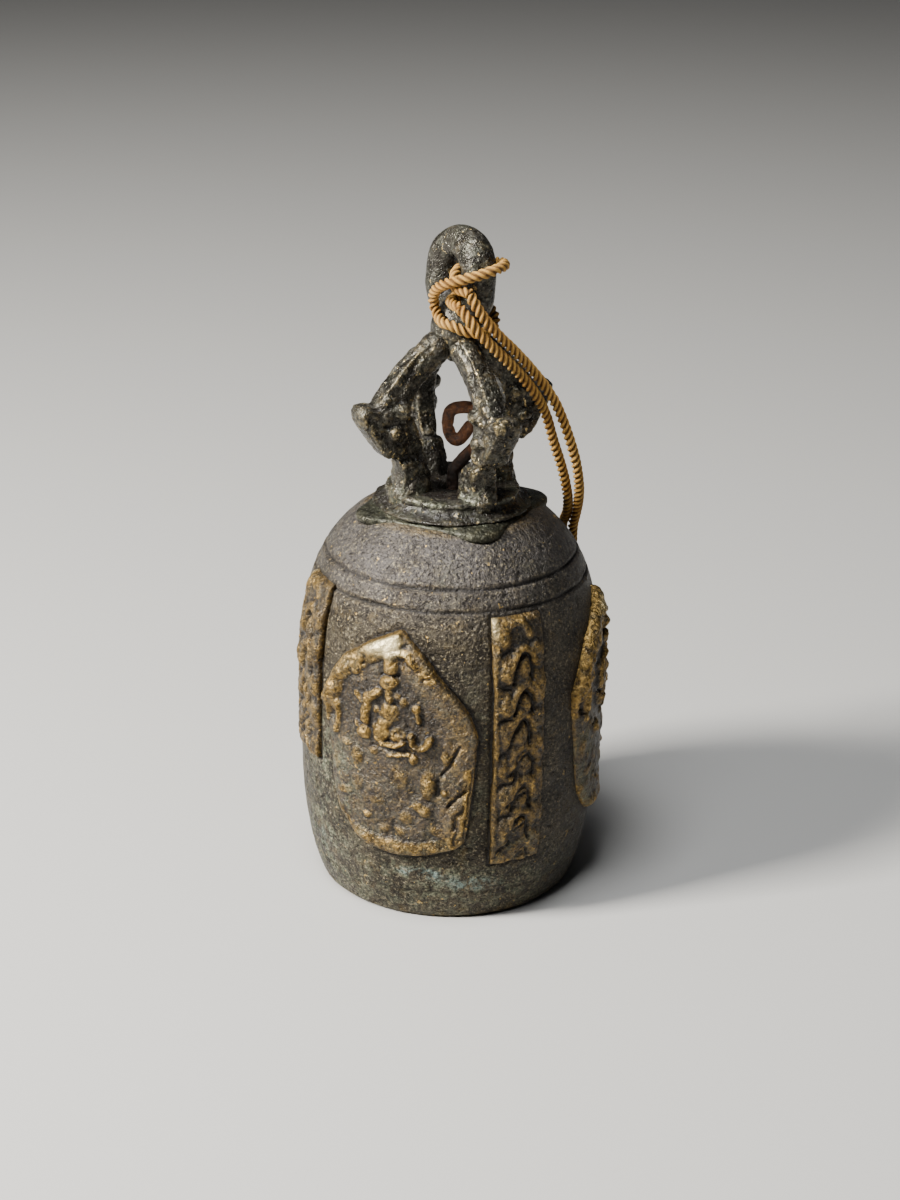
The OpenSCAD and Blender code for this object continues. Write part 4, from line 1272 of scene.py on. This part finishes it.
def make_strip(name, azimuth, low_z, top_z, seed, material):
    """A vertical strip with a worn plait."""
    columns, rows = 72, int((top_z - low_z) / 0.2)
    x, z = np.meshgrid(np.linspace(-1, 1, columns), np.linspace(low_z, top_z, rows))
    place = np.stack([x.ravel() * 5, z.ravel(), np.full(x.size, 90.0 + seed * 7)], 1)
    wander = 0.35 * rough(np.stack([np.sign(x.ravel()) * 20, z.ravel(), np.full(x.size, seed)], 1), 5, 193)
    x = x * STRIP_EDGE + (wander.reshape(x.shape) * np.abs(x) ** 2)
    bend_x = x + 0.75 * rough(place, 3.0, 197).reshape(x.shape)
    bend_z = z + 1.05 * rough(place, 3.6, 199).reshape(x.shape)
    raised, sunk = strip_relief(bend_x.ravel(), bend_z.ravel(), top_z, low_z)
    raised, sunk = raised.reshape(x.shape), sunk.reshape(x.shape)
    worn_down = 1 - 0.1 * step(34, 18, z)
    raised = raised * (0.85 + 0.5 * rough(place, 2.2, 157, 2).reshape(x.shape))
    grain = 0.17 * rough(place, 2.0, 211) + 0.12 * rough(place, 0.8, 223) + 0.05 * noise(place, 0.4, 227)
    height = 0.62 + blurred(raised * worn_down, 3) - blurred(sunk, 1)
    height = height + grain.reshape(x.shape)
    side = np.minimum(x + STRIP_EDGE + 0.3, 1.6 * (STRIP_EDGE + 0.3 - x) / 2.2)
    ends = np.minimum(z - low_z, top_z - z)
    roll = np.clip(np.minimum(side / 0.8, ends / 1.1), 0, 1)
    height = np.maximum(height * np.sqrt(1 - (1 - roll) ** 2), 0.02)
    edge_share = np.maximum(np.abs(np.linspace(-1, 1, columns))[None], 0 * z) > 0.999
    height = height - 0.15 * (edge_share | (ends < 0.01))
    worn_low = 1 - 0.45 * step(36, 20, z)
    wear = (np.clip(raised / 0.7, 0, 1) * 0.5 + 0.24 * step(-3.6, -4.4, x)) * worn_low
    wear = wear + 0.35 * step(top_z - 8, top_z - 2, z) * step(0, -3, x)
    # Bare metal at each strip's upper left corner, with a painted highlight there; full on the front strip,
    # half on the others
    bare_and_highlight = 0.3 * step(-3.4, -4.4, x) * step(top_z - 4, top_z - 1.5, z) * (1.0 if seed == 0 else 0.5)
    green = 0.12 + 0.35 * step(22, 12, z)
    patch_piece(name, azimuth, x, z, height, 0.6, material, wear, bare_and_highlight, green,
                0.25 * (1 - raised), 0.25 + 0.3 * (1 - np.clip(raised / 0.4, 0, 1)), seed)


# ---------------------------------------------------------------- hanger and clapper
HOOK_ROUTE = [
    [0, 0, 66], [0, 0, 70], [0, 0, 73.4], [0, 0, 75.8], [0.7, 0, 77.2], [2.4, 0, 79.2], [4.2, 0, 81.2],
    [5.1, 0, 83.6], [5, 0, 86.2], [3.8, 0, 87.6], [1, 0, 87.8], [-0.6, 0, 87], [-1, 0, 84.8],
    [-0.4, 0, 82.6], [0.6, 0, 81.9], [1.6, 0, 82.6], [2.8, 0, 84.4]]
WIRE_R = 1.1
LINK_WIRE_R = 0.8
ROD_R = 1.2
# The eye at the hanger's lower end
EYE_R = 3.0
EYE_Z = 61


def rusted(parts, voxel, name, node, body, material, seed):
    """Iron wire or bar: melted, pitted and swollen with rust."""
    mesh = melted(parts, voxel, 2)
    p, n = read_points(mesh), read_normals(mesh)
    lift = 0.07 * rough(p, 1.6, seed) + 0.045 * noise(p, 0.6, seed + 1)
    lift -= 0.16 * step(0.4, 0.8, noise(p, 0.9, seed + 2))
    write_points(mesh, p + n * lift[:, None])
    # Painted shade on iron from 70 to 82 mm high: the hanger's stem down in the crown's dark middle
    mark(mesh, "hollow_and_shade", 0.85 * step(82, 78, p[:, 2]) * step(70, 74, p[:, 2]))
    return finish_piece(mesh, name, [node], body, material)


def wire_ring(radius, z, wire_r, across_x):
    """A full ring of wire, standing in the XZ plane or the YZ plane."""
    angle = np.linspace(0, 2 * math.pi, 50)
    flat, up, zero = radius * np.cos(angle), z + radius * np.sin(angle), np.zeros(50)
    path = np.stack([flat, zero, up] if across_x else [zero, flat, up], 1)
    return tube(path, np.full(50, wire_r), 16)


def make_hanger(material):
    """The iron wire through the crown, with a hook above and an eye below."""
    hook = smooth_path(HOOK_ROUTE, 6)
    stem = np.array([[0, 0, EYE_Z + EYE_R - 0.2], [0, 0, 66], [0, 0, 67]])
    parts = [tube(hook, WIRE_R, 20), tube(stem, [WIRE_R] * 3, 20), wire_ring(EYE_R, EYE_Z, WIRE_R, True)]
    rusted(parts, 0.15, "hanger_wire_rusty", "hanger_wire", "hanger", material, 229)


def make_clapper(material):
    """The link, the rod and the bob, sized by their CAD nodes."""
    link_z = (LINK_LOW[2] + LINK_HIGH[2]) / 2
    link_r = (LINK_HIGH[2] - LINK_LOW[2]) / 2 - LINK_WIRE_R
    rusted([wire_ring(link_r, link_z, LINK_WIRE_R, False)], 0.12, "clapper_link_rusty", "clapper_link",
           "link", material, 233)
    eye_wire_r = LINK_WIRE_R + 0.1
    eye_r = (ROD_HIGH[0] - ROD_LOW[0]) / 2 - eye_wire_r
    eye_z = ROD_HIGH[2] - eye_wire_r - eye_r
    rod = np.stack([np.zeros(14), np.zeros(14), np.linspace(ROD_LOW[2], eye_z - eye_r + 0.2, 14)], 1)
    rod_radii = ROD_R - 0.15 * np.sin(np.linspace(0, math.pi, 14))
    rusted([tube(rod, rod_radii, 20), wire_ring(eye_r, eye_z, eye_wire_r, True)], 0.14,
           "clapper_rod_rusty", "clapper_rod", "clapper", material, 239)
    low, high, wide = BOB_LOW[2], BOB_HIGH[2], BOB_HIGH[0]
    heights = low + np.array([0.6, 1.2, 2.2, 3.4, 4.6, 5.8, 7.2, 8.8, 10.4, 11.8, high - low - 0.8])
    widths = wide * np.array([0.4, 0.66, 0.88, 0.98, 1.0, 0.94, 0.8, 0.62, 0.46, 0.36, 0.31])
    line = smooth_path(np.stack([np.zeros(11), heights, widths], 1), 4)
    path = np.stack([np.zeros(len(line)), np.zeros(len(line)), line[:, 1]], 1)
    rusted([tube(path, line[:, 2], 32)], 0.2, "clapper_bob_rusty", "clapper_bob", "clapper", material, 241)


# ---------------------------------------------------------------- the whole bell
place_camera()
set_stage()
make_cord()

body_bronze = bronze("body_bronze", (0.019, 0.015, 0.010), (0.054, 0.044, 0.029), (0.104, 0.088, 0.058),
                     (0.21, 0.145, 0.055), 0.42, wear_gain=0.7, fleck=0.71)
relief_bronze = bronze("relief_bronze", (0.024, 0.017, 0.010), (0.066, 0.046, 0.023), (0.115, 0.080, 0.036),
                       (0.215, 0.135, 0.040), 0.32, fleck=0.69, grain=0.2)
crown_bronze = bronze("crown_bronze", (0.014, 0.012, 0.010), (0.048, 0.043, 0.035), (0.125, 0.118, 0.098),
                      (0.27, 0.205, 0.095), 0.24, wear_gain=0.6, fleck=0.68, grain=0.12)
plate_bronze = bronze("plate_bronze", (0.016, 0.016, 0.011), (0.034, 0.033, 0.024), (0.058, 0.056, 0.040),
                      (0.14, 0.12, 0.065), 0.32, wear_gain=0.4, fleck=0.72, grain=0.12)
iron = rusty_iron()

make_shell(body_bronze)
make_crown_base(plate_bronze, crown_bronze)
make_ring(crown_bronze)
for number, (arm_name, arm_azimuth) in enumerate(ARM_AZIMUTHS.items()):
    make_arm(arm_name, arm_azimuth, number, crown_bronze)
for number, (plaque_name, plaque_azimuth) in enumerate(PLAQUES):
    make_plaque(plaque_name, plaque_azimuth, number, relief_bronze)
for number, (strip_name, strip_azimuth, strip_low, strip_top) in enumerate(STRIPS):
    make_strip(strip_name, strip_azimuth, strip_low, strip_top, number, relief_bronze)
make_hanger(iron)
make_clapper(iron)
